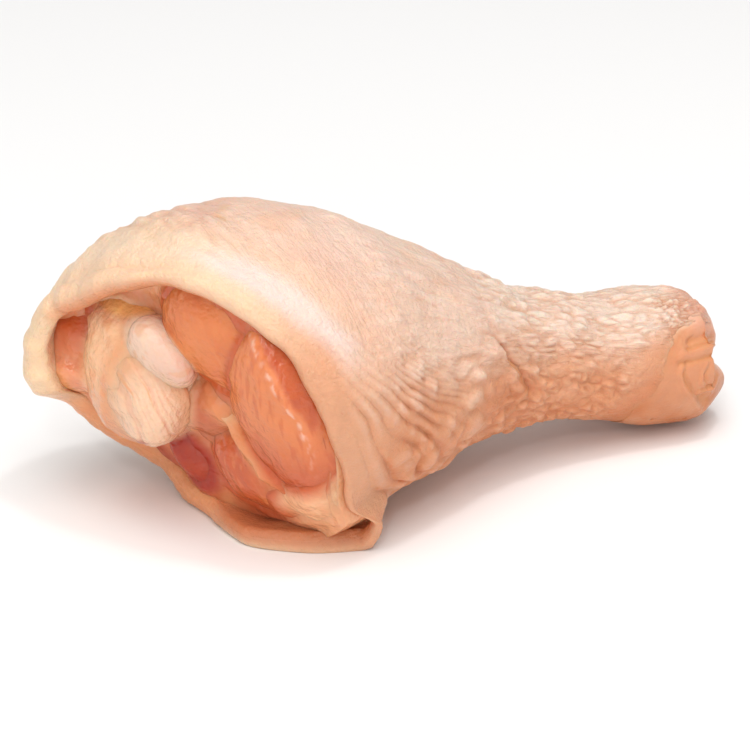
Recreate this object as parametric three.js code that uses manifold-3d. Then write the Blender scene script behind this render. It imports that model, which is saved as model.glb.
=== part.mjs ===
// A raw chicken drumstick with its skin on, lying on its side.
// Millimetres, +Z up. +X runs from the knee to the hock, and the cut face of the knee end opens towards -X and -Y.
// The loose skin is a sleeve, and in it lie the shin bone, the muscles round it, and the fat between them.
// An angle round the leg is in degrees, from +Y over the top: 0 far side, 90 top, 180 near side, 270 underside.
import * as THREE from "three";
import { mergeVertices } from "three/addons/utils/BufferGeometryUtils.js";
import Module from "manifold-3d";

const wasm = await Module();
wasm.setup();

// ---------------------------------------------------------------- driving sizes

const AXIS_Y = 3.4; // where the leg's long axis runs
const SKIN_THICKNESS = 1.7; // over the shank and the belly of the leg
const FLAT_SPOT = 0.8; // height at which the underside is pressed flat by what it rests on
const PIECE_GAP = 0.3; // between pieces that touch
const SKIN_GAP = 1; // between the skin and what lies in it
const HOCK_GAP = 0.5; // between the skin and the hock

// The whole leg's section from the knee to the hock: half its height, the free height under it,
// and its width over its height.
const SECTIONS = [
  { x: -56, half: 22.5, lift: 2.5, ratio: 1.04 },
  { x: -42, half: 25.3, lift: 0.6, ratio: 1.06 },
  { x: -30, half: 26.2, lift: 0, ratio: 1.07 },
  { x: -18, half: 26.2, lift: 0, ratio: 1.07 },
  { x: -6, half: 23.8, lift: 1.7, ratio: 1.06 },
  { x: 4, half: 20.4, lift: 3.1, ratio: 1.04 },
  { x: 14, half: 16.4, lift: 5.3, ratio: 1 },
  { x: 22, half: 13.4, lift: 6.7, ratio: 1 },
  { x: 30, half: 11.2, lift: 7.2, ratio: 1 },
  { x: 40, half: 10.8, lift: 4.9, ratio: 1 },
  { x: 50, half: 12, lift: 1.6, ratio: 0.98 },
  { x: 62, half: 12.3, lift: 0, ratio: 0.98 },
];

// The skin's cut edge round the mouth: where it lies along the leg, how far it turns inwards,
// how far it stands off the meat, how thick its rolled hem is, and how far back the hem's roll reaches.
// From 209 to 245 degrees the edge is folded out and lies on the table, and round 345 it is a thick lobe.
const RIM = [
  { angle: 0, x: -51, turnIn: 4.4, standOff: 0.8, hem: 5.8, roll: 10 },
  { angle: 30, x: -49.3, turnIn: 9.4, standOff: 0, hem: 5, roll: 13 },
  { angle: 60, x: -46, turnIn: 13.4, standOff: 0, hem: 4.6, roll: 16 },
  { angle: 90, x: -42, turnIn: 9, standOff: 0, hem: 4, roll: 16 },
  { angle: 112, x: -37.5, turnIn: 3.8, standOff: 0, hem: 3.4, roll: 14 },
  { angle: 130, x: -32, turnIn: 2.2, standOff: 0, hem: 3, roll: 12 },
  { angle: 150, x: -25, turnIn: 2.2, standOff: 0, hem: 2.8, roll: 11 },
  { angle: 170, x: -20.5, turnIn: 2, standOff: 0, hem: 2.6, roll: 10 },
  { angle: 190, x: -17.5, turnIn: 1.6, standOff: 0, hem: 2.6, roll: 10 },
  { angle: 207, x: -15.5, turnIn: 0.5, standOff: 0.4, hem: 2.6, roll: 7 },
  { angle: 216, x: -13, turnIn: 0, standOff: 3.5, hem: 2.8, roll: 6 },
  { angle: 223, x: -8, turnIn: 0, standOff: 10, hem: 3, roll: 6 },
  { angle: 231, x: -9.5, turnIn: 0, standOff: 12, hem: 3.2, roll: 7 },
  { angle: 239, x: -20, turnIn: 0, standOff: 8, hem: 3.2, roll: 8 },
  { angle: 250, x: -27, turnIn: 0, standOff: 2.6, hem: 3, roll: 9 },
  { angle: 270, x: -28.8, turnIn: 0.4, standOff: 0.4, hem: 2.8, roll: 10 },
  { angle: 300, x: -31.5, turnIn: 0.6, standOff: 0.8, hem: 2.8, roll: 10 },
  { angle: 322, x: -40, turnIn: 1, standOff: 2, hem: 3, roll: 10 },
  { angle: 332, x: -43, turnIn: 1.5, standOff: 1.6, hem: 3.6, roll: 10 },
  { angle: 342, x: -50, turnIn: 3, standOff: 1.5, hem: 6.5, roll: 10 },
  { angle: 352, x: -51.5, turnIn: 4, standOff: 1.5, hem: 6.5, roll: 10 },
];

// Where the skin ends at the hock: it reaches furthest over the top, and least on the near, lower side.
const HOCK_EDGE = [
  { angle: 0, x: 58 },
  { angle: 60, x: 62 },
  { angle: 110, x: 62.5 },
  { angle: 138, x: 60 },
  { angle: 155, x: 54 },
  { angle: 185, x: 50 },
  { angle: 220, x: 46 },
  { angle: 255, x: 45 },
  { angle: 305, x: 50 },
];

// The slanting cut face of the knee end: its place on the axis, how it leans with y and z,
// and how far behind it the meat between the muscles lies.
const FACE = { x: -33, z: 25, leanY: -0.48, leanZ: -0.28, recess: 3 };

// The muscles and fat that show at the cut face. Each has its middle on the face from the leg's axis,
// its half sizes there, its tilt, how far it bulges out of the face, and how far back it reaches.
const CALF = { y: -19.7, z: 0.6, wide: 8.6, high: 15.4, tilt: 2, bulge: 2.6, length: 52 };
const SHIN = { y: -8.8, z: 10.4, wide: 7.9, high: 10.4, tilt: 0, bulge: 1.6, length: 44 };
const INNER_CALF = { y: -9, z: -13.6, wide: 9.4, high: 8.2, tilt: 0, bulge: 1.4, length: 46 };
const FLEXOR = { y: -2.4, z: -4.2, wide: 7.6, high: 3.6, tilt: -54, bulge: 0.6, length: 40 };
const DEEP_FLEXOR = { y: 1, z: -14.3, wide: 5.2, high: 2.3, tilt: -78, bulge: -0.4, length: 36 };
const FAR_MUSCLE = { y: 18.4, z: 0, wide: 6.5, high: 13, tilt: 0, bulge: -1.5, length: 40 };
const LOWER_FAT = { y: -20, z: -16.5, wide: 12, high: 5, tilt: -28, bulge: 1.2, length: 22 };
const SEAM_FAT = { y: -14.4, z: -8.4, wide: 9.8, high: 2.6, tilt: 44, bulge: 1.4, length: 26 };
const CAP_LENGTH = 7; // how far back from its crown a muscle's rounded front end reaches
const TAPER = 0.45; // what is left of a muscle's section at its far end

// The shin bone: its head at the knee, its shaft, and the hock with its two condyles.
const KNEE_HEAD = { x: -33, y: 9.6, z: 25.6, long: 8.6, wide: 9.4, high: 11.4 };
const SHAFT = [
  { x: -33, radius: 8.5, alongHead: 0 },
  { x: -20, radius: 6, alongHead: 0.5 },
  { x: -8, radius: 4.2, alongHead: 1 },
  { x: 12, radius: 3.6, alongHead: 1 },
  { x: 30, radius: 3.6, alongHead: 1 },
  { x: 49, radius: 5, alongHead: 1 },
];
const HOCK = { start: 47, face: 59.5, reach: 74, inset: 0.2, lowest: 1.1 };
const MEAT_END = 46; // where the meat stops short of the hock
const UPPER_CONDYLE = { x: 57.6, y: 3.6, z: 15.9, long: 8.4, wide: 10.2, high: 8.4 };
const LOWER_CONDYLE = { x: 58.4, y: 2, z: 8, long: 8.4, wide: 11, high: 7.9 };

// What covers the knee head: a cap of cartilage, a fan of ligament, and a crescent of fat.
const CARTILAGE = { x: -36.2, y: 1.6, z: 32, long: 5.6, wide: 7.8, high: 4.6, tilt: 24 };
const LIGAMENT = { x: -37.2, y: 4.8, z: 23.4, long: 5.2, wide: 4.4, high: 7.8, tilt: -26 };
const KNEE_FAT = { x: -36, y: 13.4, z: 26.6, long: 7.6, wide: 8.6, high: 13, tilt: 6 };

// How fine the solids are: steps round and along the skin and what fills it, and sides of the round pieces.
const SKIN_MESH = { angleStep: 6.5, flapFrom: 208, flapTo: 262, flapStep: 3.2, outer: 26, inner: 11, hem: 4 };
const OUTER_BUNCHING = 1.6; // above 1 the steps along the skin lie closer together near the rim
const INNER_BUNCHING = 1.2;
const INSIDE_STEP = 7;
const INSIDE_SIDES = 30;
const HOCK_STEP = 2.8;
const HOCK_SKIN_STEPS = 8;
const MUSCLE_MESH = { sides: 16, cap: 4, body: 4 };
const BALL_SIDES = 16;
const BALL_RINGS = 9;

// How far a piece may lie from its cut form where small facets are merged.
const FINE_MERGE = 0.03;
const BROAD_MERGE = 0.05;
const CORE_MERGE = 0.2;
const OVERCUT = 2; // how far a cutting solid reaches beyond what it cuts

// ---------------------------------------------------------------- small helpers

const radians = THREE.MathUtils.degToRad;
const smooth = (t) => THREE.MathUtils.smoothstep(t, 0, 1);
const evenly = (count, make) => Array.from({ length: count }, (_, i) => make(i));

// A smooth curve through the rows' values that never overshoots them (a monotone cubic).
function curveThrough(rows, at, key) {
  const xs = rows.map((r) => r[at]);
  const ys = rows.map((r) => r[key]);
  const rise = xs.slice(1).map((x, i) => (ys[i + 1] - ys[i]) / (x - xs[i]));
  const slope = ys.map((_, i) => {
    if (i === 0) return rise[0];
    if (i === ys.length - 1) return rise[i - 1];
    const [a, b] = [rise[i - 1], rise[i]];
    return a * b <= 0 ? 0 : (2 * a * b) / (a + b);
  });
  return (x) => {
    let i = 0;
    while (i < xs.length - 2 && x > xs[i + 1]) i++;
    const width = xs[i + 1] - xs[i];
    const t = THREE.MathUtils.clamp((x - xs[i]) / width, 0, 1);
    const h = 3 * t * t - 2 * t * t * t;
    const left = t * (1 - t) * (1 - t) * width * slope[i];
    const right = t * t * (t - 1) * width * slope[i + 1];
    return ys[i] * (1 - h) + ys[i + 1] * h + left + right;
  };
}

// The same for values round the leg, where the last row leads back to the first.
function curveRound(rows, key) {
  const shifted = (by, some) => some.map((r) => ({ ...r, angle: r.angle + by }));
  const wrapped = [...shifted(-360, rows.slice(-3)), ...rows, ...shifted(360, rows.slice(0, 3))];
  const curve = curveThrough(wrapped, "angle", key);
  return (angle) => curve(((angle % 360) + 360) % 360);
}

// A closed geometry from rings of points. Each ring joins the next, and the ends are closed with fans,
// or the last ring joins the first where wrap is true.
function fromRings(rings, wrap) {
  const count = rings[0].length;
  const positions = rings.flat().flatMap((p) => [p.x, p.y, p.z]);
  const faces = [];
  const joins = wrap ? rings.length : rings.length - 1;
  for (let i = 0; i < joins; i++) {
    const a = i * count;
    const b = ((i + 1) % rings.length) * count;
    for (let j = 0; j < count; j++) {
      const k = (j + 1) % count;
      faces.push(a + j, b + j, a + k, a + k, b + j, b + k);
    }
  }
  const closeEnd = (ring, first) => {
    const middle = positions.length / 3;
    const centre = rings[ring].reduce((s, p) => s.add(p), new THREE.Vector3()).divideScalar(count);
    positions.push(centre.x, centre.y, centre.z);
    for (let j = 0; j < count; j++) {
      const [u, v] = [ring * count + j, ring * count + ((j + 1) % count)];
      faces.push(...(first ? [middle, u, v] : [middle, v, u]));
    }
  };
  if (!wrap) {
    closeEnd(0, true);
    closeEnd(rings.length - 1, false);
  }
  return new THREE.BufferGeometry()
    .setAttribute("position", new THREE.Float32BufferAttribute(positions, 3))
    .setIndex(faces);
}

// A solid from a closed geometry, turned right side out if its faces point inwards.
function toSolid(geometry) {
  const bare = new THREE.BufferGeometry();
  bare.setAttribute("position", geometry.getAttribute("position").clone());
  bare.setIndex(geometry.index.clone());
  const merged = mergeVertices(bare, 1e-4);
  const vertProperties = merged.attributes.position.array;
  const triVerts = new Uint32Array(merged.index.array);
  const solid = new wasm.Manifold(new wasm.Mesh({ numProp: 3, vertProperties, triVerts }));
  if (solid.volume() > 0) return solid;
  for (let i = 0; i < triVerts.length; i += 3) {
    [triVerts[i + 1], triVerts[i + 2]] = [triVerts[i + 2], triVerts[i + 1]];
  }
  return new wasm.Manifold(new wasm.Mesh({ numProp: 3, vertProperties, triVerts }));
}

function toGeometry(solid) {
  const mesh = solid.getMesh();
  return new THREE.BufferGeometry()
    .setAttribute("position", new THREE.BufferAttribute(mesh.vertProperties, 3))
    .setIndex(new THREE.BufferAttribute(mesh.triVerts, 1));
}

// The largest body of a solid, without the scraps that a cut can leave.
const largestBody = (solid) => solid.decompose().reduce((a, b) => (b.volume() > a.volume() ? b : a));
const tidied = (solid, merge) => largestBody(largestBody(solid).simplify(merge));

// ---------------------------------------------------------------- the leg's outline

const halfHeight = curveThrough(SECTIONS, "x", "half");
const freeHeight = curveThrough(SECTIONS, "x", "lift");
const widthRatio = curveThrough(SECTIONS, "x", "ratio");
const centreZ = (x) => halfHeight(x) + freeHeight(x);

// A point of the leg at x, at an angle round it, so far inside its outline and no lower than said.
function legPoint(x, angle, inset, lowest) {
  const a = radians(angle);
  const half = halfHeight(x);
  const y = AXIS_Y + (half * widthRatio(x) - inset) * Math.cos(a);
  const z = centreZ(x) + (half - inset) * Math.sin(a);
  return new THREE.Vector3(x, y, Math.max(z, lowest));
}

const insideAngles = evenly(INSIDE_SIDES, (i) => (360 * i) / INSIDE_SIDES);

// A solid along the leg between two places, so far inside its outline as insetAt says.
function alongLeg(from, to, step, insetAt, lowest, angles = insideAngles) {
  const count = Math.ceil((to - from) / step);
  const ringAt = (x) => angles.map((angle) => legPoint(x, angle, insetAt(x, angle), lowest));
  const rings = evenly(count + 1, (i) => ringAt(THREE.MathUtils.lerp(from, to, i / count)));
  return toSolid(fromRings(rings, false));
}

// ---------------------------------------------------------------- skin

const rimX = curveRound(RIM, "x");
const rimTurnIn = curveRound(RIM, "turnIn");
const rimStandOff = curveRound(RIM, "standOff");
const rimHem = curveRound(RIM, "hem");
const rimRoll = curveRound(RIM, "roll");
const hockEdge = curveRound(HOCK_EDGE, "x");

// Angles round the leg for the skin, closer together where its edge is folded out.
function skinAngles() {
  const { angleStep, flapFrom, flapTo, flapStep } = SKIN_MESH;
  const angles = [];
  let angle = 0;
  while (angle < 360) {
    angles.push(angle);
    angle += angle >= flapFrom && angle < flapTo ? flapStep : angleStep;
  }
  return angles;
}

// How far the outside of the skin lies inside the leg's outline, so far back from the cut edge.
function skinInset(angle, back) {
  const t = 1 - THREE.MathUtils.clamp(back / rimRoll(angle), 0, 1);
  const rolled = 1 - Math.sqrt(1 - t * t);
  return rimTurnIn(angle) * rolled - rimStandOff(angle) * t * t;
}

function skinThickness(angle, back) {
  return THREE.MathUtils.lerp(rimHem(angle), SKIN_THICKNESS, smooth(back / rimRoll(angle)));
}

// One closed outline along the leg: out along the outside, round the hock end, back inside, round the hem.
function skinProfile(angle) {
  const start = rimX(angle);
  const hem = rimHem(angle);
  const end = hockEdge(angle);
  const along = (share, bunching) => THREE.MathUtils.lerp(start + hem / 2, end, Math.pow(share, bunching));
  const outline = [];
  for (let i = 0; i <= SKIN_MESH.outer; i++) {
    const x = along(i / SKIN_MESH.outer, OUTER_BUNCHING);
    outline.push(legPoint(x, angle, skinInset(angle, x - start), FLAT_SPOT));
  }
  for (let i = SKIN_MESH.inner; i >= 0; i--) {
    const x = along(i / SKIN_MESH.inner, INNER_BUNCHING);
    const thick = skinThickness(angle, x - start);
    outline.push(legPoint(x, angle, skinInset(angle, x - start) + thick, FLAT_SPOT + thick));
  }
  for (let i = 1; i <= SKIN_MESH.hem; i++) {
    const turn = (Math.PI * i) / (SKIN_MESH.hem + 1);
    const x = start + (hem / 2) * (1 - Math.sin(turn));
    const depth = (hem / 2) * (1 + Math.cos(turn));
    outline.push(legPoint(x, angle, skinInset(angle, hem / 2) + depth, FLAT_SPOT + depth));
  }
  return outline;
}

const makeSkin = () => tidied(toSolid(fromRings(skinAngles().map(skinProfile), true)), BROAD_MERGE);

// ---------------------------------------------------------------- the room inside the skin

const LOWEST_MEAT = FLAT_SPOT + SKIN_THICKNESS + SKIN_GAP;
const LOWEST_FAT = LOWEST_MEAT + 1.4; // above the skin's hem, which is thicker than the skin behind it
const FAT_END = 0; // the fat under the skin stops well before the shank

// How far inside the leg's outline the fat under the skin must stay, also in front of the rim.
function fatInset(x, angle) {
  const back = Math.max(x - rimX(angle), rimHem(angle) / 2);
  return skinInset(angle, back) + skinThickness(angle, back) + SKIN_GAP;
}

// The same for the meat, which doesn't follow the skin where that stands off.
const meatInset = (x, angle) => Math.max(fatInset(x, angle), SKIN_THICKNESS + SKIN_GAP);

const mouth = SECTIONS[0].x - OVERCUT;
const meatRoom = alongLeg(mouth, MEAT_END, INSIDE_STEP, meatInset, LOWEST_MEAT);
const fatRoom = alongLeg(mouth, FAT_END, INSIDE_STEP / 2, fatInset, LOWEST_FAT, skinAngles());

// ---------------------------------------------------------------- muscles, fat and round pieces

// How far a point of a section lies back from, or in front of, the middle of the slanting face.
const faceLean = (y, z) => FACE.leanY * (y - AXIS_Y) + FACE.leanZ * (z - FACE.z);

// A muscle: a rounded front end that follows the slanting face, then a body that narrows with the leg.
function muscle(spec, grow = 0) {
  const wide = spec.wide + grow;
  const high = spec.high + grow;
  const crown = -spec.bulge - grow;
  const end = spec.length + grow;
  const tilt = radians(spec.tilt);
  const ring = (back, size) => {
    const x = Math.max(FACE.x + back, FACE.x);
    const shrink = halfHeight(x) / halfHeight(FACE.x);
    const lean = 1 - smooth(back / spec.length);
    return evenly(MUSCLE_MESH.sides, (i) => {
      const a = (2 * Math.PI * i) / MUSCLE_MESH.sides;
      const u = wide * size * Math.cos(a);
      const v = high * size * Math.sin(a);
      const y = AXIS_Y + (spec.y + u * Math.cos(tilt) - v * Math.sin(tilt)) * shrink;
      const z = centreZ(x) + (spec.z + u * Math.sin(tilt) + v * Math.cos(tilt)) * shrink;
      return new THREE.Vector3(FACE.x + back + faceLean(y, z) * lean, y, z);
    });
  };
  const rings = [];
  for (let i = 1; i <= MUSCLE_MESH.cap; i++) {
    const turn = ((Math.PI / 2) * i) / MUSCLE_MESH.cap;
    rings.push(ring(crown + CAP_LENGTH * (1 - Math.cos(turn)), Math.sin(turn)));
  }
  for (let i = 1; i <= MUSCLE_MESH.body; i++) {
    const t = i / MUSCLE_MESH.body;
    rings.push(ring(THREE.MathUtils.lerp(crown + CAP_LENGTH, end, t), 1 - (1 - TAPER) * t * t));
  }
  return toSolid(fromRings(rings, false));
}

// An ellipsoid, tilted about the leg's long direction.
function ball(spec, grow = 0) {
  const geometry = new THREE.SphereGeometry(1, BALL_SIDES, BALL_RINGS)
    .scale(spec.long + grow, spec.wide + grow, spec.high + grow)
    .rotateX(radians(spec.tilt ?? 0))
    .translate(spec.x, spec.y, spec.z);
  return toSolid(geometry);
}

// ---------------------------------------------------------------- bone

// The bone's shaft, which narrows behind the knee head and widens again into the hock.
function shaft(grow) {
  const rings = SHAFT.map(({ x, radius, alongHead }) => {
    const y = THREE.MathUtils.lerp(KNEE_HEAD.y, AXIS_Y, alongHead);
    const z = THREE.MathUtils.lerp(KNEE_HEAD.z, centreZ(x), alongHead);
    return evenly(BALL_SIDES, (i) => {
      const a = (2 * Math.PI * i) / BALL_SIDES;
      return new THREE.Vector3(x, y + (radius + grow) * Math.cos(a), z + (radius + grow) * Math.sin(a));
    });
  });
  return toSolid(fromRings(rings, false));
}

// The room that the skin takes round the hock, with the gap about it.
function hockSkinRoom() {
  const start = HOCK.start - OVERCUT;
  const under = SKIN_THICKNESS + HOCK_GAP;
  const profile = (angle) => {
    const end = hockEdge(angle) + HOCK_GAP;
    const place = (i) => THREE.MathUtils.lerp(start, end, i / HOCK_SKIN_STEPS);
    const places = evenly(HOCK_SKIN_STEPS + 1, place);
    const outside = places.map((x) => legPoint(x, angle, -OVERCUT, -OVERCUT));
    const inside = places.reverse().map((x) => legPoint(x, angle, under, FLAT_SPOT + under));
    return [...outside, ...inside];
  };
  return toSolid(fromRings(insideAngles.map(profile), true));
}

// The hock end: it fills the skin up to the skin's edge, and is bare and as wide as the skin beyond it.
function hockEnd() {
  const inset = () => HOCK.inset;
  const block = alongLeg(HOCK.start, HOCK.face, HOCK_STEP, inset, HOCK.lowest);
  const limit = alongLeg(HOCK.start, HOCK.reach, HOCK_STEP, inset, HOCK.lowest);
  const condyles = ball(UPPER_CONDYLE).add(ball(LOWER_CONDYLE)).intersect(limit);
  return block.add(condyles).subtract(hockSkinRoom());
}

const makeTibia = () => tidied(ball(KNEE_HEAD).add(shaft(0)).add(hockEnd()), BROAD_MERGE);

// ---------------------------------------------------------------- assembly

const FINISHES = {
  skin: { color: 0xf2c9a8, roughness: 0.55 },
  bone: { color: 0xf3d9b8, roughness: 0.45 },
  cartilage: { color: 0xf6dcd2, roughness: 0.3 },
  ligament: { color: 0xf7e2c6, roughness: 0.4 },
  fat: { color: 0xf5cf9c, roughness: 0.4 },
  muscle: { color: 0xe39470, roughness: 0.35 },
  darkMuscle: { color: 0xb8604c, roughness: 0.35 },
  greyMuscle: { color: 0xc99a7c, roughness: 0.35 },
};

const leg = new THREE.Group();
function add(name, solid, finish) {
  const material = new THREE.MeshStandardMaterial({ ...finish, metalness: 0 });
  const mesh = new THREE.Mesh(toGeometry(solid), material);
  mesh.name = name;
  leg.add(mesh);
}

add("skin", makeSkin(), FINISHES.skin);
add("tibia", makeTibia(), FINISHES.bone);

// The rest is filled in one piece after another, and each keeps what those before it leave free.
let taken = ball(KNEE_HEAD, PIECE_GAP).add(shaft(PIECE_GAP));
function fill(name, shape, spec, room, finish) {
  add(name, tidied(shape(spec).intersect(room).subtract(taken), FINE_MERGE), finish);
  taken = taken.add(shape(spec, PIECE_GAP));
}
fill("knee_cartilage", ball, CARTILAGE, meatRoom, FINISHES.cartilage);
fill("knee_ligament", ball, LIGAMENT, meatRoom, FINISHES.ligament);
fill("knee_fat_pad", ball, KNEE_FAT, meatRoom, FINISHES.fat);
fill("calf_muscle", muscle, CALF, meatRoom, FINISHES.muscle);
fill("shin_muscle", muscle, SHIN, meatRoom, FINISHES.muscle);
fill("seam_fat", muscle, SEAM_FAT, meatRoom, FINISHES.fat);
fill("flexor_muscle", muscle, FLEXOR, meatRoom, FINISHES.greyMuscle);
fill("inner_calf_muscle", muscle, INNER_CALF, meatRoom, FINISHES.darkMuscle);
fill("deep_flexor_muscle", muscle, DEEP_FLEXOR, meatRoom, FINISHES.darkMuscle);
fill("far_muscle", muscle, FAR_MUSCLE, meatRoom, FINISHES.muscle);
fill("lower_fat", muscle, LOWER_FAT, fatRoom, FINISHES.fat);

// The meat round the bone fills what is left behind the recessed cut face.
const faceNormal = new THREE.Vector3(1, -FACE.leanY, -FACE.leanZ);
const faceMiddle = new THREE.Vector3(FACE.x + FACE.recess, AXIS_Y, FACE.z);
const faceOffset = faceMiddle.dot(faceNormal) / faceNormal.length();
const core = meatRoom.trimByPlane(faceNormal.normalize().toArray(), faceOffset).subtract(taken);
add("shank_meat", tidied(core, CORE_MERGE), FINISHES.muscle);

// The origin is the middle of the underside of the leg's box.
const drumstick = new THREE.Group();
const box = new THREE.Box3().setFromObject(leg);
leg.position.set(-(box.min.x + box.max.x) / 2, -(box.min.y + box.max.y) / 2, -box.min.z);
drumstick.add(leg);

export default drumstick;
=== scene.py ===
"""A raw chicken drumstick with its skin on, lying on its side on a pale table."""

import math

import bpy
import numpy as np
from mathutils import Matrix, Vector, noise


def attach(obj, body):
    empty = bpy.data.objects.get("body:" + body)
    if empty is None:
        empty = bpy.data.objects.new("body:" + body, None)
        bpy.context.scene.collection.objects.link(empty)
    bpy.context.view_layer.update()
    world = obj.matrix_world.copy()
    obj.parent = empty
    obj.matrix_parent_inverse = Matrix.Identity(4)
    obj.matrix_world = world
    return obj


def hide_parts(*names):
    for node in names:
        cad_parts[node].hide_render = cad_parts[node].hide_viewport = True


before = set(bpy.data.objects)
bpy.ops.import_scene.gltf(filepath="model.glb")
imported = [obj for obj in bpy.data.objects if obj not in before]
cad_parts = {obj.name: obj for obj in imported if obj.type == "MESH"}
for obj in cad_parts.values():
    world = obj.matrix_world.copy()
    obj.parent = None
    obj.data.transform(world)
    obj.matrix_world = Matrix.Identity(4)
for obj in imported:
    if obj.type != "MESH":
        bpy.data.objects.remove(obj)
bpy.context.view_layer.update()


# ---------------------------------------------------------------- camera
# A long lens, which draws the leg nearly without perspective. It stands a little above the table, on the
# near side, and looks into the cut knee end.

CAMERA_TARGET = Vector((-0.00767, -0.00373, 0.0212))
CAMERA_TURN = math.radians(-26)
CAMERA_RISE = math.radians(25)
CAMERA_DISTANCE = 0.45

towards_camera = Vector(
    (
        math.sin(CAMERA_TURN) * math.cos(CAMERA_RISE),
        -math.cos(CAMERA_TURN) * math.cos(CAMERA_RISE),
        math.sin(CAMERA_RISE),
    )
)
camera_data = bpy.data.cameras.new("camera")
camera_data.lens = 135
camera_data.sensor_fit = "HORIZONTAL"
camera_data.sensor_width = 36
camera_data.clip_start = 0.01
camera = bpy.data.objects.new("camera", camera_data)
camera.location = CAMERA_TARGET + CAMERA_DISTANCE * towards_camera
camera.rotation_euler = towards_camera.to_track_quat("Z", "Y").to_euler()
bpy.context.scene.collection.objects.link(camera)
bpy.context.scene.camera = camera


# ---------------------------------------------------------------- table and light
# A matt white table, a broad soft light overhead, two small bright ones that draw the wet glints,
# and a weak fill from the front.

TABLE_SIDE = 6.0
TABLE_HEIGHT = 0.0


def hex_colour(text):
    """The linear colour of a hex code such as F7DDBE."""
    channels = [int(text[i : i + 2], 16) / 255 for i in (0, 2, 4)]
    return np.array([c / 12.92 if c <= 0.04045 else ((c + 0.055) / 1.055) ** 2.4 for c in channels])


def node(tree, kind, inputs=None, **settings):
    """A shader node with its settings, and with its inputs set or linked."""
    made = tree.nodes.new(kind)
    for key, value in settings.items():
        setattr(made, key, value)
    for key, value in (inputs or {}).items():
        if isinstance(value, bpy.types.NodeSocket):
            tree.links.new(value, made.inputs[key])
        else:
            made.inputs[key].default_value = value
    return made


table_mesh = bpy.data.meshes.new("table")
half_side = TABLE_SIDE / 2
corners = [(x * half_side, y * half_side, TABLE_HEIGHT) for x, y in ((-1, -1), (1, -1), (1, 1), (-1, 1))]
table_mesh.from_pydata(corners, [], [(0, 1, 2, 3)])
table = bpy.data.objects.new("table", table_mesh)
bpy.context.scene.collection.objects.link(table)
table_finish = bpy.data.materials.new("matt_table")
table_finish.use_nodes = True
table_shader = table_finish.node_tree.nodes["Principled BSDF"]
table_shader.inputs["Base Color"].default_value = (0.9, 0.9, 0.9, 1)
table_shader.inputs["Roughness"].default_value = 0.8
table_mesh.materials.append(table_finish)


def softbox(name, place, side, watts, colour):
    """A square light that points at the drumstick."""
    data = bpy.data.lights.new(name, "AREA")
    data.shape = "SQUARE"
    data.size = side
    data.energy = watts
    data.color = colour
    light = bpy.data.objects.new(name, data)
    light.location = place
    light.rotation_euler = (Vector(place) - CAMERA_TARGET).to_track_quat("Z", "Y").to_euler()
    bpy.context.scene.collection.objects.link(light)


WHITE = (1, 1, 1)
WARM_WHITE = (1, 0.98, 0.96)
softbox("overhead", place=(-0.25, -0.5, 1.6), side=1.4, watts=22.0, colour=WARM_WHITE)
softbox("glint", place=(0.06, -0.1, 0.6), side=0.05, watts=0.5, colour=WHITE)
softbox("front_glint", place=(-0.25, -0.4, 0.4), side=0.04, watts=0.3, colour=WHITE)
softbox("front_fill", place=(-0.45, -0.75, 0.3), side=0.6, watts=1.5, colour=WARM_WHITE)

world = bpy.data.worlds.new("studio")
bpy.context.scene.world = world
world.use_nodes = True
world.node_tree.nodes["Background"].inputs["Color"].default_value = (1, 1, 1, 1)
world.node_tree.nodes["Background"].inputs["Strength"].default_value = 0.42
bpy.context.scene.view_settings.view_transform = "Standard"


# ---------------------------------------------------------------- skin
# A loose sleeve of skin, pulled back from the knee end. It rolls under into a thick collar over the top,
# hangs as a lobe on the far side, and is folded out onto the table at the near, lower side.
# It is pebbled round the shank, stretched over the meat, and gathered into folds below.

MM = 0.001  # the sizes from here on are in mm
OFFSET = np.array([-7.673, -3.732, -0.8])  # from the leg's own axes to the part's
AXIS_Y = 3.4
FLAT_SPOT = 0.8  # the height at which the skin lies flat on the table
SKIN_THICKNESS = 1.7

# The leg's outline from knee to hock: half its height, how high it is lifted, and its width to its height.
SECTIONS = [
    {"x": -56, "half": 22.5, "lift": 2.5, "ratio": 1.04},
    {"x": -42, "half": 25.3, "lift": 0.6, "ratio": 1.06},
    {"x": -30, "half": 26.2, "lift": 0, "ratio": 1.07},
    {"x": -18, "half": 26.2, "lift": 0, "ratio": 1.07},
    {"x": -6, "half": 23.8, "lift": 1.7, "ratio": 1.06},
    {"x": 4, "half": 20.4, "lift": 3.1, "ratio": 1.04},
    {"x": 14, "half": 16.4, "lift": 5.3, "ratio": 1},
    {"x": 22, "half": 13.4, "lift": 6.7, "ratio": 1},
    {"x": 30, "half": 11.2, "lift": 7.2, "ratio": 1},
    {"x": 40, "half": 10.8, "lift": 4.9, "ratio": 1},
    {"x": 50, "half": 12, "lift": 1.6, "ratio": 0.98},
    {"x": 62, "half": 12.3, "lift": 0, "ratio": 0.98},
]

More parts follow.
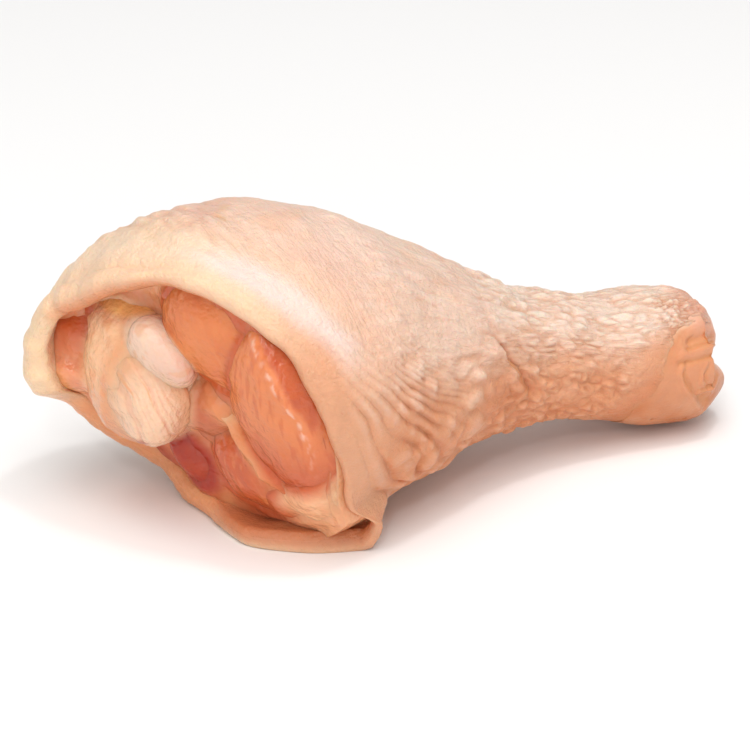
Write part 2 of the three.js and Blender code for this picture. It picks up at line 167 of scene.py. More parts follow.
# The skin's cut edge. Angles go round the leg: 0 is the far side, 90 the top and 180 the near side.
RIM = [
    {"angle": 0, "x": -51, "turn_in": 8, "stand_off": 0.8, "hem": 7.4, "roll": 13},
    {"angle": 30, "x": -49.3, "turn_in": 10.6, "stand_off": 0, "hem": 5.4, "roll": 13},
    {"angle": 60, "x": -46, "turn_in": 13.4, "stand_off": 0, "hem": 4.6, "roll": 16},
    {"angle": 90, "x": -42, "turn_in": 9, "stand_off": 0, "hem": 4, "roll": 16},
    {"angle": 112, "x": -36.2, "turn_in": 3.2, "stand_off": 0, "hem": 3.4, "roll": 14},
    {"angle": 130, "x": -30.2, "turn_in": 1.8, "stand_off": 0, "hem": 3, "roll": 12},
    {"angle": 150, "x": -23.8, "turn_in": 1.8, "stand_off": 0, "hem": 2.8, "roll": 11},
    {"angle": 170, "x": -20.5, "turn_in": 2, "stand_off": 0, "hem": 2.6, "roll": 10},
    {"angle": 190, "x": -17.5, "turn_in": 1.6, "stand_off": 0, "hem": 2.6, "roll": 10},
    {"angle": 207, "x": -15.5, "turn_in": 0.5, "stand_off": 0.4, "hem": 2.6, "roll": 7},
    {"angle": 216, "x": -14.4, "turn_in": 0, "stand_off": 3, "hem": 2.8, "roll": 6},
    {"angle": 223, "x": -10, "turn_in": 0, "stand_off": 9.4, "hem": 3, "roll": 6},
    {"angle": 231, "x": -10.8, "turn_in": 0, "stand_off": 11.6, "hem": 3.2, "roll": 7},
    {"angle": 239, "x": -20, "turn_in": 0, "stand_off": 8, "hem": 3.2, "roll": 8},
    {"angle": 250, "x": -27, "turn_in": 0, "stand_off": 2.6, "hem": 3, "roll": 9},
    {"angle": 270, "x": -28.8, "turn_in": 0.4, "stand_off": 0.4, "hem": 3.8, "roll": 9},
    {"angle": 300, "x": -31.5, "turn_in": 0.8, "stand_off": 0.4, "hem": 5.6, "roll": 9},
    {"angle": 322, "x": -40, "turn_in": 1.2, "stand_off": 2, "hem": 6.6, "roll": 9},
    {"angle": 332, "x": -43, "turn_in": 2.4, "stand_off": 1.6, "hem": 6.8, "roll": 10},
    {"angle": 342, "x": -50, "turn_in": 6, "stand_off": 1.5, "hem": 8.6, "roll": 15},
    {"angle": 352, "x": -51.5, "turn_in": 7.6, "stand_off": 1.5, "hem": 8.8, "roll": 16},
]

# Where the skin ends at the hock.
HOCK_EDGE = [
    {"angle": 0, "x": 58},
    {"angle": 60, "x": 62},
    {"angle": 110, "x": 62.5},
    {"angle": 128, "x": 61.5},
    {"angle": 138, "x": 56},
    {"angle": 155, "x": 52.5},
    {"angle": 185, "x": 50},
    {"angle": 220, "x": 46},
    {"angle": 255, "x": 45},
    {"angle": 305, "x": 50},
]


def curve_through(rows, at, key):
    """A smooth curve through the rows' values that never overshoots them."""
    xs = np.array([row[at] for row in rows], float)
    ys = np.array([row[key] for row in rows], float)
    rise = np.diff(ys) / np.diff(xs)
    before, after = rise[:-1], rise[1:]
    together = np.where(before + after == 0, 1, before + after)
    inner = np.where(before * after <= 0, 0, 2 * before * after / together)
    slope = np.concatenate([rise[:1], inner, rise[-1:]])

    def curve(x):
        i = np.clip(np.searchsorted(xs, x, side="left") - 1, 0, len(xs) - 2)
        width = xs[i + 1] - xs[i]
        t = np.clip((x - xs[i]) / width, 0, 1)
        h = 3 * t * t - 2 * t**3
        left = t * (1 - t) ** 2 * width * slope[i]
        right = t * t * (t - 1) * width * slope[i + 1]
        return ys[i] * (1 - h) + ys[i + 1] * h + left + right

    return curve


def curve_round(rows, key):
    """The same for values round the leg, where the last row leads back to the first."""
    low = [{**row, "angle": row["angle"] - 360} for row in rows[-3:]]
    high = [{**row, "angle": row["angle"] + 360} for row in rows[:3]]
    curve = curve_through(low + rows + high, "angle", key)
    return lambda angle: curve(np.mod(angle, 360))


half_height = curve_through(SECTIONS, "x", "half")
free_height = curve_through(SECTIONS, "x", "lift")
width_ratio = curve_through(SECTIONS, "x", "ratio")
rim_x = curve_round(RIM, "x")
rim_turn_in = curve_round(RIM, "turn_in")
rim_stand_off = curve_round(RIM, "stand_off")
rim_hem = curve_round(RIM, "hem")
rim_roll = curve_round(RIM, "roll")
hock_edge = curve_round(HOCK_EDGE, "x")


def centre_z(x):
    """The height of the leg's axis."""
    return half_height(x) + free_height(x)


def leg_point(x, angle, inset, lowest):
    """A point of the leg at x, at an angle round it, so far inside its outline, and no lower than said."""
    turn = np.radians(angle)
    half = half_height(x)
    y = AXIS_Y + (half * width_ratio(x) - inset) * np.cos(turn)
    z = centre_z(x) + (half - inset) * np.sin(turn)
    return np.stack(np.broadcast_arrays(x, y, np.maximum(z, lowest)), -1)


def ramp(value, low, high):
    """Rises softly from 0 at low to 1 at high."""
    t = np.clip((value - low) / (high - low), 0, 1)
    return t * t * (3 - 2 * t)


def within(angle, start, end, soft):
    """1 where an angle round the leg lies between two angles, fading out softly on both sides."""
    middle = (start + end) / 2
    away = np.abs(np.mod(angle - middle + 180, 360) - 180)
    return 1 - ramp(away, (end - start) / 2 - soft / 2, (end - start) / 2 + soft / 2)


def bell(away, width):
    """1 where away is 0, falling off softly on both sides of it."""
    return np.exp(-((away / width) ** 2))


def tapered(along, end=0.02, power=0.5):
    """1 in the middle of a line and less towards its two ends."""
    return np.sin(np.pi * np.clip(along, end, 1 - end)) ** power


def mix(first, second, share):
    """Blends two colours, or one colour into many, by a share for each point."""
    share = np.clip(share, 0, 1)[..., None]
    return first * (1 - share) + second * share


def ripple(place, size, octaves=2, shift=0.0):
    """Soft noise between about -1 and 1 over places in mm, with features of the given size in mm."""
    scaled = place / np.asarray(size, float) + shift
    flat = scaled.reshape(-1, 3).tolist()
    values = [noise.fractal(p, 1.0, 2.0, octaves) for p in flat]
    return np.array(values).reshape(place.shape[:-1])


def cells(place, size, shift=0.0):
    """How far each place is from the nearest and from the second nearest of many scattered points."""
    scaled = place / np.asarray(size, float) + shift
    flat = scaled.reshape(-1, 3).tolist()
    values = np.array([noise.voronoi(p)[0][:2] for p in flat])
    return values[:, 0].reshape(place.shape[:-1]), values[:, 1].reshape(place.shape[:-1])


def stroke(x, angle, points):
    """How far each point is from a line drawn on the leg, the same signed by side, and how far along it."""
    mm_per_degree = np.radians(1) * half_height(x)
    nearest = np.full(x.shape, np.inf)
    side = np.zeros(x.shape)
    along = np.zeros(x.shape)
    spans = len(points) - 1
    for i in range(spans):
        (x0, a0), (x1, a1) = points[i], points[i + 1]
        u, v = x - x0, (angle - a0) * mm_per_degree
        du, dv = x1 - x0, (a1 - a0) * mm_per_degree
        t = np.clip((u * du + v * dv) / (du * du + dv * dv), 0, 1)
        gap = np.hypot(u - t * du, v - t * dv)
        closer = gap < nearest
        nearest = np.where(closer, gap, nearest)
        side = np.where(closer, np.sign(u * dv - v * du), side)
        along = np.where(closer, (i + t) / spans, along)
    return nearest, nearest * np.where(side > 0, 1, -1), along


def normals_of(grid, wrap_rows, wrap_columns, ring):
    """Unit normals of a grid of points, which face away from the middle of one ring of it."""

    def steps(axis, wrap):
        if wrap:
            return np.roll(grid, -1, axis) - np.roll(grid, 1, axis)
        return np.gradient(grid, axis=axis)

    normal = np.cross(steps(0, wrap_rows), steps(1, wrap_columns))
    normal /= np.maximum(np.linalg.norm(normal, axis=-1, keepdims=True), 1e-9)
    outward = np.sum(normal[ring] * (grid[ring] - grid[ring].mean(0)), -1).mean()
    return normal if outward > 0 else -normal


def grid_piece(name, grid, wrap_rows, wrap_columns, paint):
    """A smooth mesh from a grid of points in mm. Rows that don't wrap are closed with a fan at each end."""
    rows, columns = grid.shape[:2]
    index = np.arange(rows * columns).reshape(rows, columns)
    if wrap_rows:
        index = np.vstack([index, index[:1]])
    if wrap_columns:
        index = np.hstack([index, index[:, :1]])
    quads = np.stack([index[:-1, :-1], index[1:, :-1], index[1:, 1:], index[:-1, 1:]], -1).reshape(-1, 4)
    points = grid.reshape(-1, 3)
    faces = quads.tolist()
    paint = {key: value.reshape(rows * columns, -1) for key, value in paint.items()}
    if not wrap_rows:
        for ring, turned in ((0, False), (rows - 1, True)):
            middle = len(points)
            points = np.vstack([points, grid[ring].mean(0)])
            for key, value in paint.items():
                paint[key] = np.vstack([value, value[ring * columns : (ring + 1) * columns].mean(0)])
            edge = index[ring].tolist()
            for a, b in zip(edge[:-1], edge[1:]):
                faces.append((middle, b, a) if turned else (middle, a, b))
    mesh = bpy.data.meshes.new(name)
    mesh.from_pydata(((points + OFFSET) * MM).tolist(), [], faces)
    mesh.shade_smooth()
    volume = sum(f.area * f.normal.dot(f.center) for f in mesh.polygons)
    if volume < 0:
        mesh.flip_normals()
    for key, value in paint.items():
        if value.shape[1] == 1:
            kind, field = "FLOAT", "value"
        elif key == "sleeve":
            kind, field = "FLOAT_VECTOR", "vector"
        else:
            kind, field = "FLOAT_COLOR", "color"
            value = np.hstack([value, np.ones((len(value), 1))])
        stored = mesh.attributes.new(key, kind, "POINT")
        stored.data.foreach_set(field, value.astype(np.float32).ravel())
    piece = bpy.data.objects.new(name, mesh)
    bpy.context.scene.collection.objects.link(piece)
    return piece


# The skin's grid: angles round the leg, closer together on the near side, where the folds are.
SKIN_COLUMNS = 340
CROWDED_AT = 155  # the angle at which they lie closest together
CROWDING = 14  # by how many degrees they are drawn towards it
OUTSIDE_STEPS = 236
INSIDE_STEPS = 36
HEM_STEPS = 12
TUBE_RADIUS = 15  # of the even tube on which the relief is laid out
LAST_THICKNESS = 1.2  # where the skin ends at the hock
TURN_START = 56.0  # from here on it turns in over the rounded end
TURN_LENGTH = 7.1
TURN_DEPTH = 4.5
END_SINK = 0.5  # how far skin and bare hock sink towards the skin's edge
TOP_SINK = 0.4  # how much deeper the skin alone dips at its edge over the top
spread = np.linspace(0, 360, SKIN_COLUMNS, endpoint=False)
skin_angles = np.sort(np.mod(spread - CROWDING * np.sin(np.radians(spread - CROWDED_AT)), 360))


def skin_inset(angle, back):
    """How far the skin's outside lies inside the leg's outline, so far back from the cut edge."""
    t = 1 - np.clip(back / rim_roll(angle), 0, 1)
    return rim_turn_in(angle) * (1 - np.sqrt(1 - t * t)) - rim_stand_off(angle) * t * t


def skin_thickness(angle, back):
    """The skin is thin over the leg and thicker where its edge rolls under."""
    share = ramp(back / rim_roll(angle), 0, 1)
    return rim_hem(angle) * (1 - share) + SKIN_THICKNESS * share


def hock_profile(x, angle):
    """How far skin and bare hock lie in: they turn over the round end and sink towards the skin's edge."""
    t = np.clip((x - TURN_START) / TURN_LENGTH, 0, 0.97)
    return TURN_DEPTH * (1 - np.sqrt(1 - t * t)) + END_SINK * ramp(x - hock_edge(angle), -8, 0)


def edge_dip(x, angle):
    """How much deeper the skin alone dips at its edge over the top, so that it leaves no step there."""
    return TOP_SINK * within(angle, -20, 135, 20) * ramp(x - hock_edge(angle), -2, 0)


def on_tube(x, angle):
    """Places on an even tube round the leg, so that the relief has no seam and runs along the leg."""
    turn = np.radians(angle)
    return np.stack([x, TUBE_RADIUS * np.cos(turn), TUBE_RADIUS * np.sin(turn)], -1)


def skin_grid():
    """The skin's plain surface, and each point's x, angle, distance back from the rim, and side."""
    angle = skin_angles[:, None]
    round_leg = on_tube(0 * angle, angle)
    start = rim_x(angle) + 0.7 * ripple(round_leg, 4.0, 2)
    hem = rim_hem(angle) * (1 + 0.12 * ripple(round_leg, 5.0, 1, 7.3))
    end = hock_edge(angle) + 0.5 * ripple(round_leg, 3.0, 2, 3.1)
    outside = np.linspace(0, 1, OUTSIDE_STEPS)[None, :] ** 1.25
    inside = np.linspace(1, 0, INSIDE_STEPS)[None, :] ** 1.2
    first = start + hem / 2
    x_out = first + (end - first) * outside
    x_in = first + (end - first) * inside
    turn = np.pi * np.arange(1, HEM_STEPS + 1)[None, :] / (HEM_STEPS + 1)
    x_hem = start + hem / 2 * (1 - np.sin(turn))
    depth_out = skin_inset(angle, x_out - start) + hock_profile(x_out, angle) + edge_dip(x_out, angle)
    thick_in = skin_thickness(angle, x_in - start)
    thick_in = LAST_THICKNESS + (thick_in - LAST_THICKNESS) * ramp(end - x_in, 0, 5)
    depth_in = skin_inset(angle, x_in - start) + hock_profile(x_in, angle) + edge_dip(x_in, angle) + thick_in
    depth_hem = skin_inset(angle, hem / 2) + hem / 2 * (1 + np.cos(turn))
    outer = leg_point(x_out, angle, depth_out, FLAT_SPOT)
    inner = leg_point(x_in, angle, depth_in, FLAT_SPOT + thick_in)
    fold = leg_point(x_hem, angle, depth_hem, FLAT_SPOT + hem / 2 * (1 + np.cos(turn)))
    grid = np.concatenate([outer, inner, fold], 1)
    x = np.concatenate([x_out, x_in, x_hem], 1)
    side = np.concatenate([0 * x_out + 1, 0 * x_in, (1 - np.cos(turn)) / 2 + 0 * x_hem], 1)
    return grid, x, angle + 0 * x, x - start, side


skin_points, skin_x, skin_angle, skin_back, skin_side = skin_grid()
skin_normal = normals_of(skin_points, True, True, np.s_[:, OUTSIDE_STEPS // 2])
tube = on_tube(skin_x, skin_angle)

# Which part of the skin is which.
hock_fade = 1 - ramp(skin_x - hock_edge(skin_angle), -9, -2) * within(skin_angle, 150, 330, 20)
shank = ramp(skin_x, 6, 24) * hock_fade
lower_shank = shank * within(skin_angle, 168, 300, 40)
upper_shank = shank - lower_shank
slope = ramp(skin_x, -20, 0) * (1 - ramp(skin_x, 20, 34)) * within(skin_angle, -70, 168, 30)
belly = within(skin_angle, 148, 262, 26) * ramp(skin_back, 1.5, 7) * (1 - ramp(skin_x, 0, 14))
shingled = within(skin_angle, 158, 280, 24) * ramp(skin_x, -12, 0) * (1 - ramp(skin_x, 22, 32))
stretched = within(skin_angle, 70, 165, 36) * ramp(skin_back, 5, 12) * (1 - ramp(skin_x, -10, 6))
upper_left = within(skin_angle, -60, 118, 24) * ramp(skin_back, 4, 12) * (1 - ramp(skin_x, -30, -14))
open_skin = skin_side * ramp(skin_points[..., 2], FLAT_SPOT, FLAT_SPOT + 1.5)

# Folds across the belly, which fan out towards the underside.
fold_gap = 1.6 + 3.0 * ramp(skin_angle, 148, 205)
fold_place = skin_back / fold_gap + 0.5 * ripple(tube, (9, 9, 9), 2, 2.0)
fold_crest = np.abs(np.sin(np.pi * fold_place)) ** 0.7
fold_depth = 0.3 + 0.75 * ramp(skin_angle, 155, 200)
fold_break = np.clip(0.75 + 0.8 * ripple(tube, (7, 5, 5), 1, 9.0), 0.15, 1.3)
wrinkled = belly * fold_depth * fold_break * (fold_crest - 0.62)

# Pillow-like dimples between the belly and the shank.
warp = 1.2 * np.stack([ripple(tube, (5, 5, 5), 2, s) for s in (1.0, 4.0, 8.0)], -1)
near_cell, next_cell = cells(tube + warp, (4.2, 3.4, 3.4))
pillow = ramp(next_cell - near_cell, 0, 0.7) * (1 - 0.5 * near_cell)
wrinkled += shingled * 0.8 * (pillow - 0.4)

# Wrinkles along the leg over the upper slope.
long_wrinkle = 0.34 * ripple(tube, (6, 1.4, 1.4), 2, 6.0)
fine_wrinkle = 0.16 * ripple(tube, (2.6, 0.6, 0.6), 2, 16.0)
wrinkled += slope * (long_wrinkle + fine_wrinkle)

# Pebbles round the shank, longer along the top.
top_cell, top_next = cells(tube + 0.8 * warp, (3.1, 1.75, 1.75), 2.0)
low_cell, low_next = cells(tube + 0.8 * warp, (2.3, 2.6, 2.6), 6.0)
pebble_break = np.clip(0.85 + 0.7 * ripple(tube, 6.0, 2, 12.0), 0.35, 1.3)
top_pebble = ramp(top_next - top_cell, 0, 0.6)
low_pebble = ramp(low_next - low_cell, 0, 0.5)
top_lump = 0.26 * ripple(tube, (3, 1.5, 1.5), 2, 51.0)
low_lump = 0.26 * ripple(tube, (2, 2, 2), 2, 53.0)
wrinkled += upper_shank * (pebble_break * 0.36 * (top_pebble - 0.6) + top_lump)
wrinkled += lower_shank * (pebble_break * 0.4 * (low_pebble - 0.7) + low_lump)

# Low bumps with feather follicles in their tops, over the upper part of the knee end.
bump_cell, bump_next = cells(tube + warp, (2.6, 4.4, 4.4), 11.0)
wrinkled += upper_left * 0.42 * (ramp(bump_next - bump_cell, 0, 0.5) - 0.5)
wrinkled += upper_left * 0.22 * ripple(tube, (1.5, 5, 5), 2, 3.0)

# Soft wrinkles along the rolled edge, and fine ones parallel to it where the skin is pulled tight.
roll_place = np.stack([skin_back / 1.3, tube[..., 1] / 9, tube[..., 2] / 9], -1)
rolled = within(skin_angle, -30, 160, 30) * (1 - ramp(skin_back, 5, 12)) * ramp(skin_back, 0.5, 2)
wrinkled += rolled * 0.16 * ripple(roll_place, 1.0, 2, 21.0)
pull = skin_x - 0.3 * rim_x(skin_angle) + 0.8 * ripple(tube, (5, 4, 4), 2, 61.0)
pull_place = np.stack([pull / 1.1, tube[..., 1] / 4.5, tube[..., 2] / 4.5], -1)
wrinkled += stretched * 0.12 * ripple(pull_place, 1.0, 2, 31.0)

# Broad and small lumps everywhere.
relief = wrinkled + 0.55 * ripple(tube, (11, 8, 8), 2) + 0.2 * ripple(tube, (3.6, 2.6, 2.6), 2, 5.0)

# The overlap where the belly's skin stops at the shank, the ridge that runs up to it, and a short pleat.
OVERLAP = [(15.8, 146), (18.2, 153), (19.4, 162), (21.4, 171), (23.2, 182), (24.6, 191)]
RIDGE = [(8.8, 153), (13.0, 157), (17.6, 160)]
PLEAT = [(-3.5, 168), (-0.5, 170), (3.0, 170)]
away, signed, along = stroke(skin_x, skin_angle, OVERLAP)
overlap_crease = tapered(along) * bell(away, 0.55)
relief -= 0.75 * overlap_crease
relief += 0.55 * tapered(along) * bell(signed + 1.7, 1.3)
for line, tall, wide in ((RIDGE, 0.6, 0.8), (PLEAT, 0.55, 0.7)):
    away, _, along = stroke(skin_x, skin_angle, line)
    relief += tall * bell(away, wide) * tapered(along)

# Rough lumps just before the skin ends at the hock.
rough_hock = within(skin_angle, 95, 150, 24) * ramp(skin_x, 49, 53) * (1 - ramp(skin_x, 58, 61))
knot, knot_next = cells(tube, (1.6, 1.3, 1.3), 4.0)
relief += rough_hock * 0.45 * (ramp(knot_next - knot, 0, 0.45) - 0.5)

# The edge that lies on the table is ragged.
ragged = within(skin_angle, 222, 336, 16) * (1 - ramp(skin_back, 3, 7))
relief += ragged * (0.3 * ripple(skin_points, 1.4, 2, 71.0) + 0.25 * ripple(skin_points, 3.0, 2, 73.0))

# The lower end of the skin is smooth where it runs into the bare hock.
near_end = ramp(skin_x - hock_edge(skin_angle), -8, 0)
relief *= 1 - 0.8 * near_end * within(skin_angle, 134, 330, 16)

skin_shape = skin_points + skin_normal * (relief * open_skin)[..., None]
skin_shape[..., 2] = np.maximum(skin_shape[..., 2], FLAT_SPOT + 0.01)

# Its colours: yellowish cream round the knee end, pink where it is stretched, peach to tan below. The peach of
# the near, lower side is painted shade; the paler top, slope and crests are painted light, and the darker
# hollows and cracks are painted shade.
CREAM = hex_colour("EBC8AC")
COLLAR = hex_colour("EFD0B2")
LOBE_CREAM = hex_colour("F6D9B0")
COLLAR_EDGE = hex_colour("EFC8A5")
RIM_PALE = hex_colour("E9D6D0")
NEAR_EDGE = hex_colour("DCA07A")
PINK_CREAM = hex_colour("E3B39E")
PEACH = hex_colour("DC9F7A")
SHADED_LOW_PEACH = hex_colour("DA8F60")
CRACK_SHADE = hex_colour("C67B50")
PALE_PAINTED_LIGHT = hex_colour("F3DAC8")
FOLLICLE = hex_colour("E0A762")
HOCK_TAN = hex_colour("D28254")
HOCK_PINK = hex_colour("E8AE95")
STRIP_PEACH = hex_colour("E89E6C")
FAT_SIDE = hex_colour("DC9468")
FAT_DEEP = hex_colour("B8683C")
FAT_AMBER = hex_colour("DE8A4A")
HOLLOW_SHADE = np.array([0.9, 0.74, 0.62])  # painted shade: how much red, green and blue is left in the hollows

near_side_shade = within(skin_angle, 135, 330, 50)
low_side_shade = within(skin_angle, 178, 310, 46)
blotch = ripple(tube, (12, 10, 10), 2, 14.0)
pinkness = within(skin_angle, 60, 172, 40) * ramp(skin_back, 8, 18) * (1 - ramp(skin_x, 14, 34))
skin_tone = mix(CREAM, PINK_CREAM, pinkness * (0.85 + 0.5 * blotch))
tan_patch = ramp(ripple(tube, (9, 5, 5), 2, 41.0), 0.05, 0.45) * within(skin_angle, 80, 160, 30)
skin_tone = mix(skin_tone, PEACH, 0.7 * tan_patch * ramp(skin_back, 10, 18) * (1 - 0.7 * shank))
# Painted shade: the near side turns peach and the lower side a deeper peach.
skin_tone = mix(skin_tone, PEACH, near_side_shade * (0.75 + 0.4 * blotch))
skin_tone = mix(skin_tone, SHADED_LOW_PEACH, low_side_shade * (0.8 + 0.3 * blotch))
# Painted light: the upper shank, and by half the upper slope, are paler where they face up.
shank_pale = shank * within(skin_angle, 20, 150, 50)
skin_tone = mix(skin_tone, PALE_PAINTED_LIGHT, np.maximum(shank_pale, 0.5 * slope))
# Painted shade in the cracks between the pebbles, and a painted shadow line along the overlap crease.
crack = np.maximum(upper_shank * (1 - top_pebble), lower_shank * (1 - low_pebble))
skin_tone = mix(skin_tone, CRACK_SHADE, 0.24 * crack * pebble_break + 0.75 * overlap_crease)
collar = (1 - ramp(skin_back, 6, 13)) * within(skin_angle, -20, 116, 30)
skin_tone = mix(skin_tone, COLLAR, collar)
pale_rim = within(skin_angle, 108, 156, 20) * ramp(skin_back, 2, 6) * (1 - ramp(skin_back, 8, 13))
skin_tone = mix(skin_tone, RIM_PALE, 0.7 * pale_rim)
# Painted light: paler over the top of the leg near the knee end.
top_pale = within(skin_angle, 74, 110, 20) * ramp(skin_back, 12, 20) * (1 - ramp(skin_x, -8, 4))
skin_tone = mix(skin_tone, PALE_PAINTED_LIGHT, 0.3 * top_pale)
skin_tone = mix(skin_tone, COLLAR_EDGE, 0.9 * (1 - ramp(skin_back, 1.2, 5.5)))
skin_tone = mix(skin_tone, NEAR_EDGE, within(skin_angle, 145, 240, 30) * (1 - ramp(skin_back, 4, 8)))
# A faint band of painted light along the upper near side, behind the rim.
bright_band = within(skin_angle, 104, 152, 24) * ramp(skin_back, 6, 12) * (1 - ramp(skin_x, 16, 26))
skin_tone = mix(skin_tone, PALE_PAINTED_LIGHT, 0.15 * bright_band * (0.8 + 0.5 * blotch))
under_strip = within(skin_angle, 262, 338, 16) * (1 - ramp(skin_back, 4, 9))
skin_tone = mix(skin_tone, STRIP_PEACH, under_strip)
follicle = upper_left * (1 - ramp(bump_cell, 0.12, 0.3))
skin_tone = mix(skin_tone, FOLLICLE, 0.6 * follicle)
# Painted shade in the hollows of the relief, and painted highlights on its crests, weaker on the shaded lower
# side.
hollow = ramp(-wrinkled, 0.02, 0.42)
crest = ramp(wrinkled, 0.02, 0.3)
skin_tone = mix(skin_tone, skin_tone * HOLLOW_SHADE, 0.75 * hollow)
skin_tone = mix(skin_tone, PALE_PAINTED_LIGHT, crest * (0.4 - 0.28 * low_side_shade))
skin_tone = mix(skin_tone, HOCK_TAN, (1 - hock_fade) * 0.9)
end_pink = within(skin_angle, 30, 136, 20) * ramp(skin_x, 55, 60)
skin_tone = mix(skin_tone, HOCK_PINK, end_pink)
end_peach = within(skin_angle, 128, 172, 20) * ramp(skin_x - hock_edge(skin_angle), -9, -3.5)
skin_tone = mix(skin_tone, PEACH, 0.7 * end_peach)
# Painted shade between the rough lumps near the hock.
skin_tone = mix(skin_tone, CRACK_SHADE, 0.6 * rough_hock * (1 - ramp(knot_next - knot, 0, 0.3)))
inner_side = 1 - ramp(skin_side, 0.1, 0.75)
flap_tip = within(skin_angle, 214, 264, 12)
strip_front = within(skin_angle, 262, 338, 16) * (1 - ramp(skin_back, 2.5, 5.5))
lobe_front = within(skin_angle, 338, 392, 14) * (1 - ramp(skin_back, 8.5, 10))
skin_tone = mix(skin_tone, FAT_SIDE, inner_side * (1 - 0.85 * strip_front) * (1 - lobe_front))
skin_tone = mix(skin_tone, FAT_DEEP, (1 - ramp(skin_side, 0.45, 0.9)) * flap_tip * 0.5)
lobe = within(skin_angle, 335, 400, 20) * (1 - ramp(skin_back, 10, 16))
skin_tone = mix(skin_tone, LOBE_CREAM, 0.5 * lobe)
amber_tongue = within(skin_angle, 333, 350, 8) * ramp(skin_back, 5.5, 7.5) * (1 - ramp(skin_back, 12, 15))
skin_tone = mix(skin_tone, FAT_AMBER, 0.8 * inner_side * amber_tongue)

skin = grid_piece(
    "skin_sleeve",
    skin_shape,
    True,
    True,
    {
        "tone": skin_tone,
        "stretch": stretched * skin_side,
        "crinkle": np.clip(slope + upper_shank + 0.5 * upper_left, 0, 1) * skin_side,
        "pull": pull,
        "sleeve": tube,
        "wet": inner_side,
    },
)


def new_group(name, inputs, outputs):
    """An empty shader node group with named inputs and outputs."""
    group = bpy.data.node_groups.new(name, "ShaderNodeTree")
    kinds = {"value": "NodeSocketFloat", "vector": "NodeSocketVector", "colour": "NodeSocketColor"}
    for key, (kind, default) in inputs.items():
        made = group.interface.new_socket(key, in_out="INPUT", socket_type=kinds[kind])
        if default is not None:
            made.default_value = default
    for key, kind in outputs.items():
        group.interface.new_socket(key, in_out="OUTPUT", socket_type=kinds[kind])
    start = group.nodes.new("NodeGroupInput")
    end = group.nodes.new("NodeGroupOutput")
    return group, start, end


def calculated(tree, operation, first, second):
    """What a material works out from two values, such as their sum or product."""
    return node(tree, "ShaderNodeMath", {0: first, 1: second}, operation=operation).outputs[0]


# Fine mottling of a flesh colour, which skin, bone, gristle, fat and meat share.
mottling, group_in, group_out = new_group(
    "mottling",
    {"Tone": ("colour", (1, 1, 1, 1)), "Size": ("value", 300.0), "Amount": ("value", 0.1)},
    {"Tone": "colour"},
)
place = node(mottling, "ShaderNodeTexCoord")
speckle = node(
    mottling,
    "ShaderNodeTexNoise",
    {"Vector": place.outputs["Object"], "Scale": group_in.outputs["Size"], "Detail": 4.0, "Roughness": 0.6},
)
centred = calculated(mottling, "SUBTRACT", speckle.outputs["Fac"], 0.5)
scaled = calculated(mottling, "MULTIPLY", centred, group_in.outputs["Amount"])
brightness = calculated(mottling, "ADD", scaled, 1.0)
toned = node(
    mottling, "ShaderNodeVectorMath", {0: group_in.outputs["Tone"], "Scale": brightness}, operation="SCALE"
)
mottling.links.new(toned.outputs["Vector"], group_out.inputs["Tone"])


def placed_group(tree, group, inputs):
    """A node group placed in a material with its own values."""
    return node(tree, "ShaderNodeGroup", inputs, node_tree=group)


def attribute(tree, name, output):
    """What a mesh stores under a name at each point."""
    return node(tree, "ShaderNodeAttribute", attribute_name=name).outputs[output]


FINE_DEPTH = 0.5 * MM  # of the skin's pores and fine wrinkles


def fine_wrinkles(tree, place, fineness, detail, distortion, mask, strength, below):
    """Wrinkles drawn out by a fineness for each axis, kept to a mask and laid over what is below them."""
    sized = node(tree, "ShaderNodeVectorMath", {0: place, 1: fineness}, operation="MULTIPLY")
    wrinkles = node(
        tree,
        "ShaderNodeTexNoise",
        {"Vector": sized.outputs["Vector"], "Scale": 1.0, "Detail": detail, "Distortion": distortion},
    )
    height = calculated(tree, "MULTIPLY", wrinkles.outputs["Fac"], attribute(tree, mask, "Fac"))
    return node(
        tree,
        "ShaderNodeBump",
        {"Height": height, "Strength": strength, "Distance": FINE_DEPTH, "Normal": below.outputs["Normal"]},
    )


skin_finish = bpy.data.materials.new("raw_skin")
skin_finish.use_nodes = True
tree = skin_finish.node_tree
shader = tree.nodes["Principled BSDF"]
skin_colour = attribute(tree, "tone", "Color")
mottled = placed_group(tree, mottling, {"Tone": skin_colour, "Size": 420.0, "Amount": 0.22})
tree.links.new(mottled.outputs["Tone"], shader.inputs["Base Color"])
place = node(tree, "ShaderNodeTexCoord")
pores = node(
    tree,
    "ShaderNodeTexNoise",
    {"Vector": place.outputs["Object"], "Scale": 1300.0, "Detail": 4.0, "Roughness": 0.65},
)
porous = node(tree, "ShaderNodeBump", {"Height": pores.outputs["Fac"], "Strength": 0.8, "Distance": FINE_DEPTH})

# Fine wrinkles parallel to the pulled edge.
apart = node(tree, "ShaderNodeSeparateXYZ", {"Vector": attribute(tree, "sleeve", "Vector")})
pull_place = node(
    tree,
    "ShaderNodeCombineXYZ",
    {"X": attribute(tree, "pull", "Fac"), "Y": apart.outputs["Y"], "Z": apart.outputs["Z"]},
)
pulled = fine_wrinkles(
    tree,
    pull_place.outputs["Vector"],
    fineness=(1.7, 0.4, 0.4),
    detail=2.0,
    distortion=0.7,
    mask="stretch",
    strength=0.5,
    below=porous,
)

# Fine crinkles along the leg.
crinkled = fine_wrinkles(
    tree,
    attribute(tree, "sleeve", "Vector"),
    fineness=(0.55, 2.3, 2.3),
    detail=3.0,
    distortion=0.4,
    mask="crinkle",
    strength=0.8,
    below=pulled,
)
tree.links.new(crinkled.outputs["Normal"], shader.inputs["Normal"])
shader.inputs["Subsurface Weight"].default_value = 0.35
shader.inputs["Subsurface Radius"].default_value = (1.0, 0.4, 0.22)
shader.inputs["Subsurface Scale"].default_value = 0.0022

